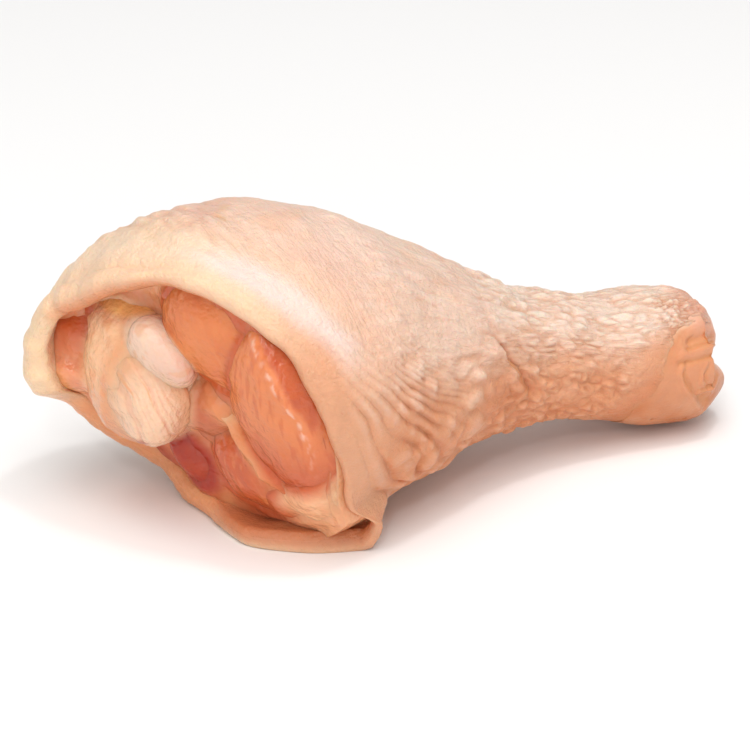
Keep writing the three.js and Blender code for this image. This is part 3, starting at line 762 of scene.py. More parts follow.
# The fat side of the skin is wetter than its outside.
SKIN_ROUGHNESS = 0.38
WET_CHANGE = -0.16
smoother = calculated(tree, "MULTIPLY", attribute(tree, "wet", "Fac"), WET_CHANGE)
roughness = calculated(tree, "ADD", smoother, SKIN_ROUGHNESS)
tree.links.new(roughness, shader.inputs["Roughness"])
skin.data.materials.append(skin_finish)
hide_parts("skin")
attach(skin, "root")


# ---------------------------------------------------------------- shin bone
# One bone of pinkish cream from knee to hock. Its head shows at the knee among fat and gristle. At the hock
# its end is bare: two smooth condyles of gristle, with tendons in a groove over the near side.

KNEE_HEAD = {"x": -33, "y": 9.6, "z": 25.6, "long": 8.6, "wide": 9.4, "high": 11.4}
SHAFT = [
    {"x": -33, "radius": 8.5, "along_head": 0},
    {"x": -20, "radius": 6, "along_head": 0.5},
    {"x": -8, "radius": 4.2, "along_head": 1},
    {"x": 12, "radius": 3.6, "along_head": 1},
    {"x": 30, "radius": 3.6, "along_head": 1},
    {"x": 44, "radius": 4.6, "along_head": 1},
]
HOCK_START = 45.0
HOCK_FACE = 59.5
EDGE_SHOW = 0.15  # how far the bare hock stands out of the skin's edge
HOCK_LOWEST = 1.1
UPPER_CONDYLE = {"x": 56.8, "y": 4.2, "z": 16.2, "long": 8.2, "wide": 10, "high": 8.4}
LOWER_CONDYLE = {"x": 58.5, "y": -0.6, "z": 6.1, "long": 8.4, "wide": 9.8, "high": 7.2}
BONE_COLUMNS = 260
HEAD_ROWS = 40
SHAFT_ROWS = 24
UNDER_ROWS = 10  # over the hock, up to the skin's edge
BARE_ROWS = 60  # and beyond it
END_ROWS = 46
FIRST_HOCK_ROW = HEAD_ROWS + SHAFT_ROWS
FIRST_END_ROW = FIRST_HOCK_ROW + UNDER_ROWS + BARE_ROWS

bone_angles = np.linspace(0, 360, BONE_COLUMNS, endpoint=False)[None, :]
shaft_radius = curve_through(SHAFT, "x", "radius")
shaft_along_head = curve_through(SHAFT, "x", "along_head")


def bone_head(rows):
    """Rings over the knee end of the bone, from its front pole back to the shaft."""
    turn = np.linspace(0.03, 0.72, rows)[:, None] * np.pi
    a = np.radians(bone_angles)
    x = KNEE_HEAD["x"] - KNEE_HEAD["long"] * np.cos(turn)
    y = KNEE_HEAD["y"] + KNEE_HEAD["wide"] * np.sin(turn) * np.cos(a)
    z = KNEE_HEAD["z"] + KNEE_HEAD["high"] * np.sin(turn) * np.sin(a)
    return np.stack(np.broadcast_arrays(x, y, z), -1)


def bone_shaft(rows):
    """Rings along the shaft, which leads from the middle of the head to the middle of the leg."""
    x = np.linspace(-26, 43, rows)[:, None]
    a = np.radians(bone_angles)
    share = shaft_along_head(x)
    y = KNEE_HEAD["y"] * (1 - share) + AXIS_Y * share + shaft_radius(x) * np.cos(a)
    z = KNEE_HEAD["z"] * (1 - share) + centre_z(x) * share + shaft_radius(x) * np.sin(a)
    return np.stack(np.broadcast_arrays(x, y, z), -1)


def hock_sides(under_rows, bare_rows):
    """Rings over the hock: close under the skin up to its edge, and bare from there to the end."""
    edge = np.minimum(hock_edge(bone_angles), HOCK_FACE - 0.6)
    under = HOCK_START + (edge - 0.35 - HOCK_START) * np.linspace(0, 1, under_rows)[:, None]
    bare = edge + (HOCK_FACE - edge) * np.linspace(0, 1, bare_rows)[:, None] ** 0.8
    x = np.concatenate([under, bare])
    covered = ramp(hock_edge(bone_angles) - x, 0, 11)
    below_skin = (SKIN_THICKNESS + 0.05 + EDGE_SHOW) * covered - EDGE_SHOW
    inset = hock_profile(x, bone_angles) + below_skin
    lowest = HOCK_LOWEST + (FLAT_SPOT + SKIN_THICKNESS + 0.05 - HOCK_LOWEST) * covered
    return leg_point(x, bone_angles, inset, lowest), x


def condyle_front(y, z):
    """How far the hock's end reaches at a place of its face: two round condyles with a groove between."""
    reaches = []
    for part in (UPPER_CONDYLE, LOWER_CONDYLE):
        off = ((y - part["y"]) / part["wide"]) ** 2 + ((z - part["z"]) / part["high"]) ** 2
        reaches.append(part["x"] + part["long"] * np.sqrt(np.clip(1 - off, 0.0, 1)))
    return np.maximum(np.maximum(reaches[0], reaches[1]), HOCK_FACE)


def hock_end(last_ring, rows):
    """Rings that shrink from the edge of the hock's face to its middle, over the two condyles."""
    size = np.cos(np.linspace(0.02, 0.495, rows) * np.pi)[:, None, None]
    middle = last_ring.mean(0)
    rings = middle + (last_ring - middle) * size
    reach = condyle_front(rings[..., 1], rings[..., 2])
    fullness = 3.6 + 5 * within(bone_angles, -30, 140, 30)  # under the skin at the top the end is squarer
    rings[..., 0] = HOCK_FACE + (reach - HOCK_FACE) * (1 - size[..., 0] ** fullness)
    return rings


side_rings, side_x = hock_sides(UNDER_ROWS, BARE_ROWS)
end_rings = hock_end(side_rings[-1], END_ROWS)
bone_grid = np.concatenate([bone_head(HEAD_ROWS), bone_shaft(SHAFT_ROWS), side_rings, end_rings])
bone_normal = normals_of(bone_grid, False, True, FIRST_HOCK_ROW + UNDER_ROWS)

# Where each point of the hock lies along the leg. The head and the shaft count as far away from it.
x_side = np.full(bone_grid.shape[:2], -60.0)
x_side[FIRST_HOCK_ROW:FIRST_END_ROW] = side_x
x_side[FIRST_END_ROW:] = end_rings[..., 0]
angle_all = np.broadcast_to(bone_angles, x_side.shape)
past_skin = x_side - hock_edge(angle_all)
bare_side = ramp(past_skin, -0.5, 1.5)
coloured = ramp(past_skin, -4, -1.5)
relief = 0.22 * bare_side * ripple(bone_grid, 5.0, 2, 3.3)
relief += 0.05 * bare_side * ripple(bone_grid, 1.6, 2, 8.1)
relief[:FIRST_HOCK_ROW] += 0.25 * ripple(bone_grid[:FIRST_HOCK_ROW], 3.5, 2, 1.2)

# A groove with tendons crosses the near side just below the skin's edge.
GROOVE_TOP = [(55.5, 146), (58.8, 143), (62, 141)]
TENDON = [(53.0, 157), (56.8, 153), (62, 150)]
GROOVE_LOW = [(52.5, 164), (56.6, 162), (62, 159)]
GROOVE_MID = [(54.5, 153), (57.0, 150.5), (62, 147)]
for line, deep, wide in ((GROOVE_TOP, 0.7, 1.0), (GROOVE_LOW, 0.4, 0.5), (GROOVE_MID, 0.5, 0.35)):
    away, _, _ = stroke(x_side, angle_all, line)
    relief -= bare_side * deep * bell(away, wide)
away, _, _ = stroke(x_side, angle_all, TENDON)
relief += bare_side * 0.35 * bell(away, 0.7)

# Round the boss of the lower condyle runs a sharp crest with a furrow beyond it. On the boss lie an arc, a
# crease and a dip.
CREST = [(53.4, 166), (52.8, 172), (53.2, 181), (54.4, 190), (56.2, 200), (58.0, 211)]
ARC = [(58.0, 168), (57.0, 174), (57.0, 181), (57.8, 187)]
RAISED_CREASE = [(56.6, 190), (59.4, 189.5), (61.5, 190)]
DIP = [(57.6, 197), (59.0, 203)]
furrow = np.zeros(x_side.shape)
for line, tall, deep, wide in (
    (CREST, 0.35, 0.45, 0.5),
    (ARC, 0.25, 0.3, 0.4),
    (RAISED_CREASE, 0.5, 0.3, 0.4),
):
    _, signed, along = stroke(x_side, angle_all, line)
    fade = bare_side * tapered(along, 0.04, 0.4)
    beyond = bell(signed - 1.2 * wide, wide)
    relief += fade * tall * bell(signed + 0.5 * wide, wide)
    relief -= fade * deep * beyond
    furrow += fade * beyond
away, _, _ = stroke(x_side, angle_all, DIP)
dip = bell(away, 1.1) * bare_side
relief -= 0.6 * dip

# Two pinholes joined by a faint line lie low on the near side.
PINHOLES = [(49.6, 224), (56.2, 228)]
away, _, along = stroke(x_side, angle_all, PINHOLES)
ends_of_line = np.minimum(along, 1 - along) < 0.03
pinhole = bare_side * np.where(ends_of_line, bell(away, 0.4), 0.25 * bell(away, 0.2))
relief -= 0.5 * pinhole
bone_shape = bone_grid + bone_normal * relief[..., None]
bone_shape[..., 2] = np.maximum(bone_shape[..., 2], HOCK_LOWEST - 0.2)

BONE_CREAM = hex_colour("E6B897")
BARE_TAN = hex_colour("C67746")
BARE_PEACH = hex_colour("DA9973")
GROOVE_ORANGE = hex_colour("D28C5A")
GRISTLE = hex_colour("EBC7AE")
bone_tone = mix(BONE_CREAM, BARE_TAN, coloured * (0.85 + 0.3 * ripple(bone_grid, 6.0, 2, 5.0)))
upper_bare = coloured * within(angle_all, 140, 196, 30)
bone_tone = mix(bone_tone, BARE_PEACH, upper_bare * 0.7)
for line, wide in ((GROOVE_TOP, 1.0), (GROOVE_MID, 0.4), (GROOVE_LOW, 0.5)):
    away, _, _ = stroke(x_side, angle_all, line)
    bone_tone = mix(bone_tone, GROOVE_ORANGE, bare_side * 0.8 * bell(away, wide))
bone_tone = mix(bone_tone, GROOVE_ORANGE, 0.7 * dip + 0.6 * np.clip(furrow, 0, 1))
bone_tone = mix(bone_tone, FAT_DEEP, pinhole)
end_part = np.zeros(x_side.shape)
end_part[FIRST_END_ROW:] = np.linspace(0, 1, END_ROWS)[:, None]
bone_tone = mix(bone_tone, GRISTLE, 0.7 * ramp(end_part, 0.5, 0.85))
bone_tone = mix(bone_tone, HOCK_PINK, 0.7 * within(angle_all, 30, 138, 30) * ramp(x_side, 53, 58))
bone = grid_piece("shin_bone", bone_shape, False, True, {"tone": bone_tone})

# A thin wet film, dimpled and rippled, which breaks up the highlights on everything but the skin.
wet_film, group_in, group_out = new_group(
    "wet_film",
    {
        "Broad size": ("value", 500.0),
        "Broad depth": ("value", 0.5),
        "Fine size": ("value", 2200.0),
        "Fine depth": ("value", 0.3),
    },
    {"Normal": "vector"},
)
place = node(wet_film, "ShaderNodeTexCoord")
below = {}
for kind, distance in (("Broad", 0.0015), ("Fine", 0.0009)):
    dimples = node(
        wet_film,
        "ShaderNodeTexNoise",
        {"Vector": place.outputs["Object"], "Scale": group_in.outputs[kind + " size"], "Detail": 2.0},
    )
    depth = group_in.outputs[kind + " depth"]
    dimpled = node(
        wet_film,
        "ShaderNodeBump",
        {"Height": dimples.outputs["Fac"], "Strength": depth, "Distance": distance, **below},
    )
    below = {"Normal": dimpled.outputs["Normal"]}
wet_film.links.new(dimpled.outputs["Normal"], group_out.inputs["Normal"])


def wet_flesh(name, roughness, glow, spread_mm, mottle, film, shine=0.4):
    """A raw, moist tissue: its colour is stored in the mesh, and light passes a little way into it.

    The mottling is given as size and amount, the wet film as broad size and depth and fine size and depth.
    """
    finish = bpy.data.materials.new(name)
    finish.use_nodes = True
    tree = finish.node_tree
    shader = tree.nodes["Principled BSDF"]
    size, amount = mottle
    tone = attribute(tree, "tone", "Color")
    toned = placed_group(tree, mottling, {"Tone": tone, "Size": size, "Amount": amount})
    tree.links.new(toned.outputs["Tone"], shader.inputs["Base Color"])
    keys = ("Broad size", "Broad depth", "Fine size", "Fine depth")
    filmed = placed_group(tree, wet_film, dict(zip(keys, film)))
    tree.links.new(filmed.outputs["Normal"], shader.inputs["Normal"])
    shader.inputs["Roughness"].default_value = roughness
    shader.inputs["Specular IOR Level"].default_value = shine
    shader.inputs["Subsurface Weight"].default_value = glow
    shader.inputs["Subsurface Radius"].default_value = (1.0, 0.35, 0.2)
    shader.inputs["Subsurface Scale"].default_value = spread_mm * MM
    return finish


bare_bone = wet_flesh(
    "bare_bone",
    roughness=0.34,
    glow=0.3,
    spread_mm=2.0,
    mottle=(500.0, 0.16),
    film=(450.0, 0.12, 1800.0, 0.12),
)
bone.data.materials.append(bare_bone)
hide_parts("tibia")
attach(bone, "root")


# ---------------------------------------------------------------- knee: gristle knob
# The pinkish white knob of gristle that caps the knee end of the bone. It is smooth, wet and faintly
# veined, and has grown together with the bone, the ligament and the fat round it.

BALL_ROWS = 110
BALL_COLUMNS = 150
CARTILAGE = {
    "x": -35.4,
    "y": 2,
    "z": 32.8,
    "long": 4.6,
    "wide": 6,
    "high": 4.4,
    "tilt": 24,
    "dip": -0.4,
    "swing": -0.2,
}
MOUTH_LIP = 0.5  # how deep the tissues under the skin reach into it
SOFT_STOP = 0.04  # how gradually they stop there, as a share of the way out from the leg's axis
LOWEST_TISSUE = 3.5
KNEE_EDGE = hex_colour("E3AD86")


def tissue_inset(x, angle):
    """How far inside the leg's outline the tissues under the skin begin, also in front of its edge."""
    back = np.maximum(x - rim_x(angle), rim_hem(angle) / 2)
    return skin_inset(angle, back) + skin_thickness(angle, back) - MOUTH_LIP


def kept_inside(points, lowest):
    """Moves what would stick out of the skin back under it."""
    x = points[..., 0]
    half = half_height(x)
    wide = half * width_ratio(x)
    off_y = points[..., 1] - AXIS_Y
    off_z = points[..., 2] - centre_z(x)
    turn = np.arctan2(off_z / half, off_y / wide)
    for _ in range(3):
        limit = tissue_inset(x, np.degrees(turn))
        turn = np.arctan2(off_z / np.maximum(half - limit, 1), off_y / np.maximum(wide - limit, 1))
    limit = tissue_inset(x, np.degrees(turn))
    share = np.hypot(off_z / np.maximum(half - limit, 1), off_y / np.maximum(wide - limit, 1))
    allowed = share - SOFT_STOP * np.logaddexp(0, (share - 1) / SOFT_STOP)
    scale = allowed / np.maximum(share, 0.01)
    y = AXIS_Y + off_y * scale
    z = centre_z(x) + off_z * scale
    return np.stack([x, y, np.maximum(z, lowest)], -1), share


def ball_grid(spec):
    """An ellipsoid tilted about the leg's long direction, with its poles along that direction."""
    turn = np.linspace(0.02, 0.98, BALL_ROWS)[:, None] * np.pi
    a = np.linspace(0, 2 * np.pi, BALL_COLUMNS, endpoint=False)[None, :]
    tilt = math.radians(spec.get("tilt", 0))
    u = spec["wide"] * np.sin(turn) * np.cos(a)
    v = spec["high"] * np.sin(turn) * np.sin(a)
    along = -spec["long"] * np.cos(turn) + 0 * a
    y = spec["y"] + u * math.cos(tilt) - v * math.sin(tilt) + spec.get("swing", 0) * along
    z = spec["z"] + u * math.sin(tilt) + v * math.cos(tilt) + spec.get("dip", 0) * along
    return np.stack([spec["x"] + along, y, z], -1)


def ball_form(spec):
    """A function that is 1 on an ellipsoid's surface, less inside it and more outside."""

    def form(points):
        tilt = math.radians(spec.get("tilt", 0))
        x = points[..., 0] - spec["x"]
        y = points[..., 1] - spec["y"] - spec.get("swing", 0) * x
        z = points[..., 2] - spec["z"] - spec.get("dip", 0) * x
        u = y * math.cos(tilt) + z * math.sin(tilt)
        v = z * math.cos(tilt) - y * math.sin(tilt)
        return np.sqrt((x / spec["long"]) ** 2 + (u / spec["wide"]) ** 2 + (v / spec["high"]) ** 2)

    return form


def gap_to(form, points):
    """Roughly how far points lie outside a form, in mm."""
    step = 0.2
    value = form(points)
    slopes = [(form(points + step * axis) - value) / step for axis in np.eye(3)]
    steepness = np.sqrt(sum(s * s for s in slopes))
    return (value - 1) / np.maximum(steepness, 0.02)


# The tissues in place, which the next ones grow on, and the colours of their edges.
laid = [(ball_form(KNEE_HEAD), KNEE_EDGE)]


def neighbours(grid):
    """How far points are from the nearest tissue in place, and the colour that it has there."""
    gaps = np.stack([gap_to(form, grid) for form, edge in laid])
    gap = gaps.min(0)
    near = np.exp(-(gaps - gap) / 0.4)
    return gap, np.tensordot(near / near.sum(0), np.array([edge for form, edge in laid]), (0, 0))


def fillet(gap, weld):
    """How far a tissue rises beside the next one, starting a weld's width away from it."""
    return np.where(gap < weld, (weld - np.maximum(gap, 0)) ** 2 / (2.2 * weld), 0)


def tissue_piece(grid, relief, weld, lowest=LOWEST_TISSUE):
    """Lays a tissue in place: under the skin, with a fillet where it meets what is already there."""
    normal = normals_of(grid, False, True, len(grid) // 2)
    gap, beside = neighbours(grid)
    shape, share = kept_inside(grid + normal * (relief + fillet(gap, weld))[..., None], lowest)
    return {"grid": grid, "shape": shape, "gap": gap, "share": share, "beside": beside}


def grown_on(tone, made, width):
    """Lets a tissue take on its neighbour's colour where they meet."""
    return mix(tone, made["beside"], 1 - ramp(made["gap"], -0.3, width))


grid = ball_grid(CARTILAGE)
relief = 0.7 * ripple(grid, (7, 4.2, 4.2), 1, 2.7) + 0.05 * ripple(grid, 1.6, 2)
made = tissue_piece(grid, relief, weld=3.4)
KNOB_WHITE = hex_colour("EBCBB4")
KNOB_LILAC = hex_colour("DAAA9A")
KNOB_EDGE = hex_colour("E6B08A")
lilac = ramp(-grid[..., 1], -1.0, 5.0)
tone = mix(KNOB_WHITE, KNOB_LILAC, 0.5 * lilac)
tone = mix(tone, KNOB_EDGE, 0.5 * ramp(ripple(grid, (5, 2, 2), 2, 9.0), 0.1, 0.5))
tone = grown_on(tone, made, 3.0)
knob = grid_piece("gristle_knob", made["shape"], False, True, {"tone": tone})
gristle = wet_flesh(
    "gristle",
    roughness=0.22,
    glow=0.45,
    spread_mm=3.0,
    mottle=(400.0, 0.08),
    film=(350.0, 0.2, 1200.0, 0.3),
)
knob.data.materials.append(gristle)
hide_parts("knee_cartilage")
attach(knob, "root")
laid.append((ball_form(CARTILAGE), mix(KNOB_WHITE, KNOB_EDGE, np.array(0.5))))


# ---------------------------------------------------------------- knee: ligament
# A fan of whitish cords that spreads over the lower half of the knee, from the knob down to the cut. A
# little orange fat lies between the cords, and blood along their lower edge.

LIGAMENT = {"x": -37, "y": 4.2, "z": 23.8, "long": 4.4, "wide": 5.6, "high": 7.4, "tilt": -20}
ACROSS_KNEE = np.array([0.9, -0.44, 0])  # the two directions of the slanting knee end
DOWN_KNEE = np.array([-0.19, -0.38, -0.9])
CORD_SLANT = 0.48  # the cords run down and towards the calf
CORD_GAP = 0.6
grid = ball_grid(LIGAMENT)
off_middle = grid - np.array([LIGAMENT["x"], LIGAMENT["y"], LIGAMENT["z"]])
down_fan = off_middle @ DOWN_KNEE
across_fan = off_middle @ ACROSS_KNEE - CORD_SLANT * down_fan + 0.5 * ripple(grid, 4.0, 1, 3.6)
fan = np.stack([across_fan / (1 + 0.04 * down_fan) / CORD_GAP, down_fan / 14, 0 * down_fan], -1)
cords = ripple(fan, 1.0, 2, 4.4)
relief = 0.22 * cords + 0.5 * ripple(grid, (9, 3.4, 3.4), 2, 6.6) + 0.06 * ripple(grid, 1.1, 2, 7.7)
made = tissue_piece(grid, relief, weld=3.8)
CORD_WHITE = hex_colour("ECC5A6")
CORD_PINK = hex_colour("E6B497")
CORD_ORANGE = hex_colour("DC8E5C")
tone = mix(CORD_WHITE, CORD_PINK, 0.8 * ramp(-cords, 0.05, 0.5))
tone = mix(tone, CORD_ORANGE, 0.75 * ramp(ripple(fan, 1.4, 2, 11.0), 0.28, 0.55))
tone = mix(tone, CORD_ORANGE, 0.6 * bell(made["gap"] - 0.5, 0.4) * ramp(grid[..., 2], 25, 29))
tone = grown_on(tone, made, 2.2)
BLOOD_RED = hex_colour("9C2E1C")
lower_left = 0.82 * down_fan - 0.57 * (off_middle @ ACROSS_KNEE)
tone = mix(tone, BLOOD_RED, 0.7 * ramp(lower_left, 5.8, 6.2))
ligament = grid_piece("knee_ligament_fan", made["shape"], False, True, {"tone": tone})
ligament_cords = wet_flesh(
    "ligament_cords",
    roughness=0.26,
    glow=0.35,
    spread_mm=2.0,
    mottle=(600.0, 0.1),
    film=(600.0, 0.25, 1800.0, 0.3),
)
ligament.data.materials.append(ligament_cords)
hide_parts("knee_ligament")
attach(ligament, "root")
laid.append((ball_form(LIGAMENT), mix(CORD_WHITE, CORD_PINK, np.array(0.5))))


# ---------------------------------------------------------------- knee: fat pad
# A thick crescent of cream fat that wraps the far side of the knee. Where it meets the rolled collar it is
# orange and glassy, and painted light brightens it there against the collar's shade. Its lower edge is stained
# with blood.

KNEE_FAT = {"x": -36.4, "y": 12.8, "z": 26.4, "long": 7.4, "wide": 8.8, "high": 13, "tilt": 6}
grid = ball_grid(KNEE_FAT)
relief = 0.5 * ripple(grid, 4.6, 2, 1.9) + 0.1 * ripple(grid, 1.3, 2, 2.2)
made = tissue_piece(grid, relief, weld=3.6)
FAT_CREAM = hex_colour("F5C298")
FAT_PALE = hex_colour("E6A57A")
FAT_ORANGE = hex_colour("DC7E42")
GLASSY_FAT_PAINTED_LIGHT = hex_colour("FFC07C")
tone = mix(FAT_CREAM, FAT_PALE, ramp(24 - grid[..., 2], -4, 5))
tone = mix(tone, FAT_ORANGE, 0.3 * ramp(ripple(grid, (5, 1.5, 4), 2, 3.0), 0.1, 0.5))
tone = mix(tone, FAT_ORANGE, 0.5 * bell(made["gap"] - 0.9, 0.6))
tone = grown_on(tone, made, 2.0)
# Painted light: the glassy orange top, under the collar, is painted brighter than its own orange.
tone = mix(tone, GLASSY_FAT_PAINTED_LIGHT, ramp(grid[..., 2], 36.0, 37.2))
tone = mix(tone, BLOOD_RED, 0.85 * ramp(made["share"], 0.93, 1.0) * ramp(22 - grid[..., 2], 0, 3))
pad = grid_piece("knee_fat", made["shape"], False, True, {"tone": tone})
soft_fat = wet_flesh(
    "soft_fat",
    roughness=0.26,
    glow=0.4,
    spread_mm=2.6,
    mottle=(450.0, 0.08),
    film=(380.0, 0.25, 1300.0, 0.35),
)
pad.data.materials.append(soft_fat)
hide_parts("knee_fat_pad")
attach(pad, "root")
laid.append((ball_form(KNEE_FAT), mix(FAT_CREAM, FAT_ORANGE, np.array(0.25))))


# ---------------------------------------------------------------- muscles
# The muscles round the shin end in the slanting open face, each rounded under its own thin silvery skin.
# They are wet, salmon to dark red, and grown together with pale seams.

# The open face: its middle, how it leans, and how far back the meat between the muscles is set in it.
FACE = {"x": -33, "z": 25, "lean_y": -0.48, "lean_z": -0.28, "recess": 3}
CAP_LENGTH = 7  # of a muscle's rounded end
TAPER = 0.45  # how wide it still is at the hock, as a share
CAP_ROWS = 96
BODY_ROWS = 40
MUSCLE_COLUMNS = 150

# Places in the face from the leg's axis, half widths and heights, tilts, and how far the ends bulge out.
MUSCLES = {
    "calf": {"y": -19.4, "z": -0.4, "wide": 10.8, "high": 17, "tilt": 6, "bulge": 2.6, "length": 52},
    "shin": {"y": -8, "z": 10.4, "wide": 8.6, "high": 10.4, "tilt": 0, "bulge": 1.6, "length": 44},
    "seam": {"y": -10.8, "z": -8.4, "wide": 12.4, "high": 1.9, "tilt": 52, "bulge": 0.7, "length": 26},
    "flexor": {"y": -3, "z": -4.6, "wide": 6.8, "high": 4.6, "tilt": -64, "bulge": 0.8, "length": 40},
    "inner_calf": {"y": -9.2, "z": -14.2, "wide": 9.6, "high": 8, "tilt": -6, "bulge": 1.4, "length": 46},
    "deep_flexor": {"y": 3.4, "z": -16, "wide": 7.6, "high": 4, "tilt": 64, "bulge": 0.6, "length": 36},
    "far": {"y": 18.4, "z": 0, "wide": 6.5, "high": 13, "tilt": 0, "bulge": 1.4, "length": 40},
    "lower_fat": {"y": -18.6, "z": -14.8, "wide": 12.6, "high": 4.8, "tilt": -21, "bulge": 0.8, "length": 22},
}


def face_lean(y, z):
    """How far the slanting face lies back at a place of it."""
    return FACE["lean_y"] * (y - AXIS_Y) + FACE["lean_z"] * (z - FACE["z"])


def muscle_grid(spec):
    """Rings over a muscle's rounded front end and back along its narrowing body."""
    crown = -spec["bulge"]
    turn = np.linspace(0.012, 0.5, CAP_ROWS) * np.pi
    cap_back = crown + CAP_LENGTH * (1 - np.cos(turn))
    t = np.linspace(0, 1, BODY_ROWS + 1)[1:] ** 1.5
    body_back = crown + CAP_LENGTH + (spec["length"] - crown - CAP_LENGTH) * t
    back = np.concatenate([cap_back, body_back])[:, None]
    size = np.concatenate([np.sin(turn), 1 - (1 - TAPER) * t * t])[:, None]
    x = np.maximum(FACE["x"] + back, FACE["x"])
    shrink = half_height(x) / half_height(FACE["x"])
    lean = 1 - ramp(back / spec["length"], 0, 1)
    a = np.linspace(0, 2 * np.pi, MUSCLE_COLUMNS, endpoint=False)[None, :]
    tilt = math.radians(spec["tilt"])
    u = spec["wide"] * size * np.cos(a)
    v = spec["high"] * size * np.sin(a)
    y = AXIS_Y + (spec["y"] + u * math.cos(tilt) - v * math.sin(tilt)) * shrink
    z = centre_z(x) + (spec["z"] + u * math.sin(tilt) + v * math.cos(tilt)) * shrink
    grid = np.stack([FACE["x"] + back + face_lean(y, z) * lean, y, z], -1)
    return grid, u, v, back + 0 * a


def muscle_form(spec):
    """A function that is 1 on the front end of a muscle, less inside it and more outside."""

    def form(points):
        y, z = points[..., 1], points[..., 2]
        back = points[..., 0] - FACE["x"] - face_lean(y, z)
        for _ in range(2):
            lean = 1 - ramp(back / spec["length"], 0, 1)
            back = points[..., 0] - FACE["x"] - face_lean(y, z) * lean
        x = np.maximum(FACE["x"] + back, FACE["x"])
        shrink = half_height(x) / half_height(FACE["x"])
        off_y = (y - AXIS_Y) / shrink - spec["y"]
        off_z = (z - centre_z(x)) / shrink - spec["z"]
        tilt = math.radians(spec["tilt"])
        u = (off_y * math.cos(tilt) + off_z * math.sin(tilt)) / spec["wide"]
        v = (off_z * math.cos(tilt) - off_y * math.sin(tilt)) / spec["high"]
        front = np.maximum(1 - (back + spec["bulge"]) / CAP_LENGTH, 0)
        return np.sqrt(u * u + v * v + front * front)

    return form


def lay_muscle(key, weld, lump, fibre, edge, lowest=LOWEST_TISSUE):
    """Shapes one muscle with its lumps and fibres, and returns what its colours need."""
    spec = MUSCLES[key]
    grid, u, v, back = muscle_grid(spec)
    shift = len(laid) * 3.7  # gives each its own lumps
    strands = np.stack([u / 1.3, v / 6, back / 3], -1)
    relief = lump * ripple(grid, 5.0, 2, shift) + fibre * ripple(strands, 1.0, 2, shift)
    relief += 0.03 * ripple(grid, 1.6, 2, shift + 5)
    made = tissue_piece(grid, relief, weld, lowest)
    made["u"] = u
    made["v"] = v
    made["strands"] = ripple(strands, 0.6, 2, shift + 2)
    laid.append((muscle_form(spec), edge))
    return made


def finish_muscle(name, made, tone, merge, finish, cad_node):
    """Makes a muscle's mesh, its edge merging in colour with what it grew on, in place of its plain solid."""
    piece = grid_piece(name, made["shape"], False, True, {"tone": grown_on(tone, made, merge)})
    piece.data.materials.append(finish)
    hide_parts(cad_node)
    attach(piece, "root")


SALMON = hex_colour("E38A52")
DEEP_SALMON = hex_colour("CC6236")
CALF_SALMON = hex_colour("E08653")
CALF_RED = hex_colour("C0522C")
CREASE_SHADE = hex_colour("AE3C22")
SILVER_AND_GLINT = hex_colour("EFC2AC")
SEAM_CREAM = hex_colour("E0905E")
BROWN_PINK = hex_colour("C66039")
GREY_BROWN = hex_colour("C4724C")
DARK_RED = hex_colour("A93219")
FAR_PINK = hex_colour("EFA380")
wet_muscle = wet_flesh(
    "wet_muscle",
    roughness=0.16,
    glow=0.4,
    spread_mm=2.6,
    mottle=(350.0, 0.14),
    film=(300.0, 0.25, 900.0, 0.4),
    shine=0.45,
)

# The calf, the largest, with a silvery edge where it leaves the skin, broken into patches of painted highlight,
# and painted shade behind that.
made = lay_muscle("calf", weld=1.6, lump=0.4, fibre=0.06, edge=DEEP_SALMON)
tone = mix(CALF_SALMON, CALF_RED, 0.9 * ramp(-made["v"], -2, 13))
tone = mix(tone, CALF_RED, 0.35 * ramp(made["strands"], 0.0, 0.5))
to_skin = made["share"] - 0.06 * ramp(-made["v"], -12, 4)  # the edge runs closer to the skin further down
# The silvery edge is real silverskin; its bright patches are painted highlight.
silver = bell(to_skin - 0.955, 0.02) * ramp(made["v"], -10, 0)
glint_patches = ramp(ripple(made["grid"], (2.4, 0.9, 1.6), 2, 4.0), -0.2, 0.35)
tone = mix(tone, SILVER_AND_GLINT, 0.75 * silver * glint_patches)
# Painted shade between the silvery edge and the skin, over the upper part.
tone = mix(tone, CREASE_SHADE, 0.6 * ramp(to_skin, 0.985, 1.04) * ramp(made["v"], -4, 6))
finish_muscle("calf_meat", made, tone, 0.8, wet_muscle, "calf_muscle")

# The shin muscle above it, with painted shade where it meets the calf and, faintly, under the skin's edge.
made = lay_muscle("shin", weld=1.4, lump=0.3, fibre=0.05, edge=DEEP_SALMON)
tone = mix(SALMON, DEEP_SALMON, 0.25 + 0.4 * ripple(made["grid"], 7.0, 2, 3.0))
tone = mix(tone, SALMON, 0.35 * ramp(made["strands"], 0.0, 0.5))
tone = mix(tone, CREASE_SHADE, 0.12 * ramp(made["share"], 0.95, 1.03))
to_calf = gap_to(muscle_form(MUSCLES["calf"]), made["grid"])
tone = mix(tone, CREASE_SHADE, 0.5 * (1 - ramp(to_calf, 0, 1.1)))
finish_muscle("shin_meat", made, tone, 0.6, wet_muscle, "shin_muscle")

# The seam of fat under the calf, palest at its upper end.
made = lay_muscle("seam", weld=3.0, lump=0.9, fibre=0.1, edge=SEAM_CREAM)
patches = 0.4 * ripple(made["grid"], 3.0, 2, 5.0)
tone = mix(SEAM_CREAM, FAT_CREAM, 0.2 + 0.7 * ramp(made["u"], 3, 8) + patches)
tone = mix(tone, SALMON, 0.6 * (1 - ramp(made["gap"], 0.2, 1.6)))
tone = mix(tone, SALMON, 0.45 * ramp(-made["u"], -1, 8))
finish_muscle("seam_of_fat", made, tone, 1.0, soft_fat, "seam_fat")

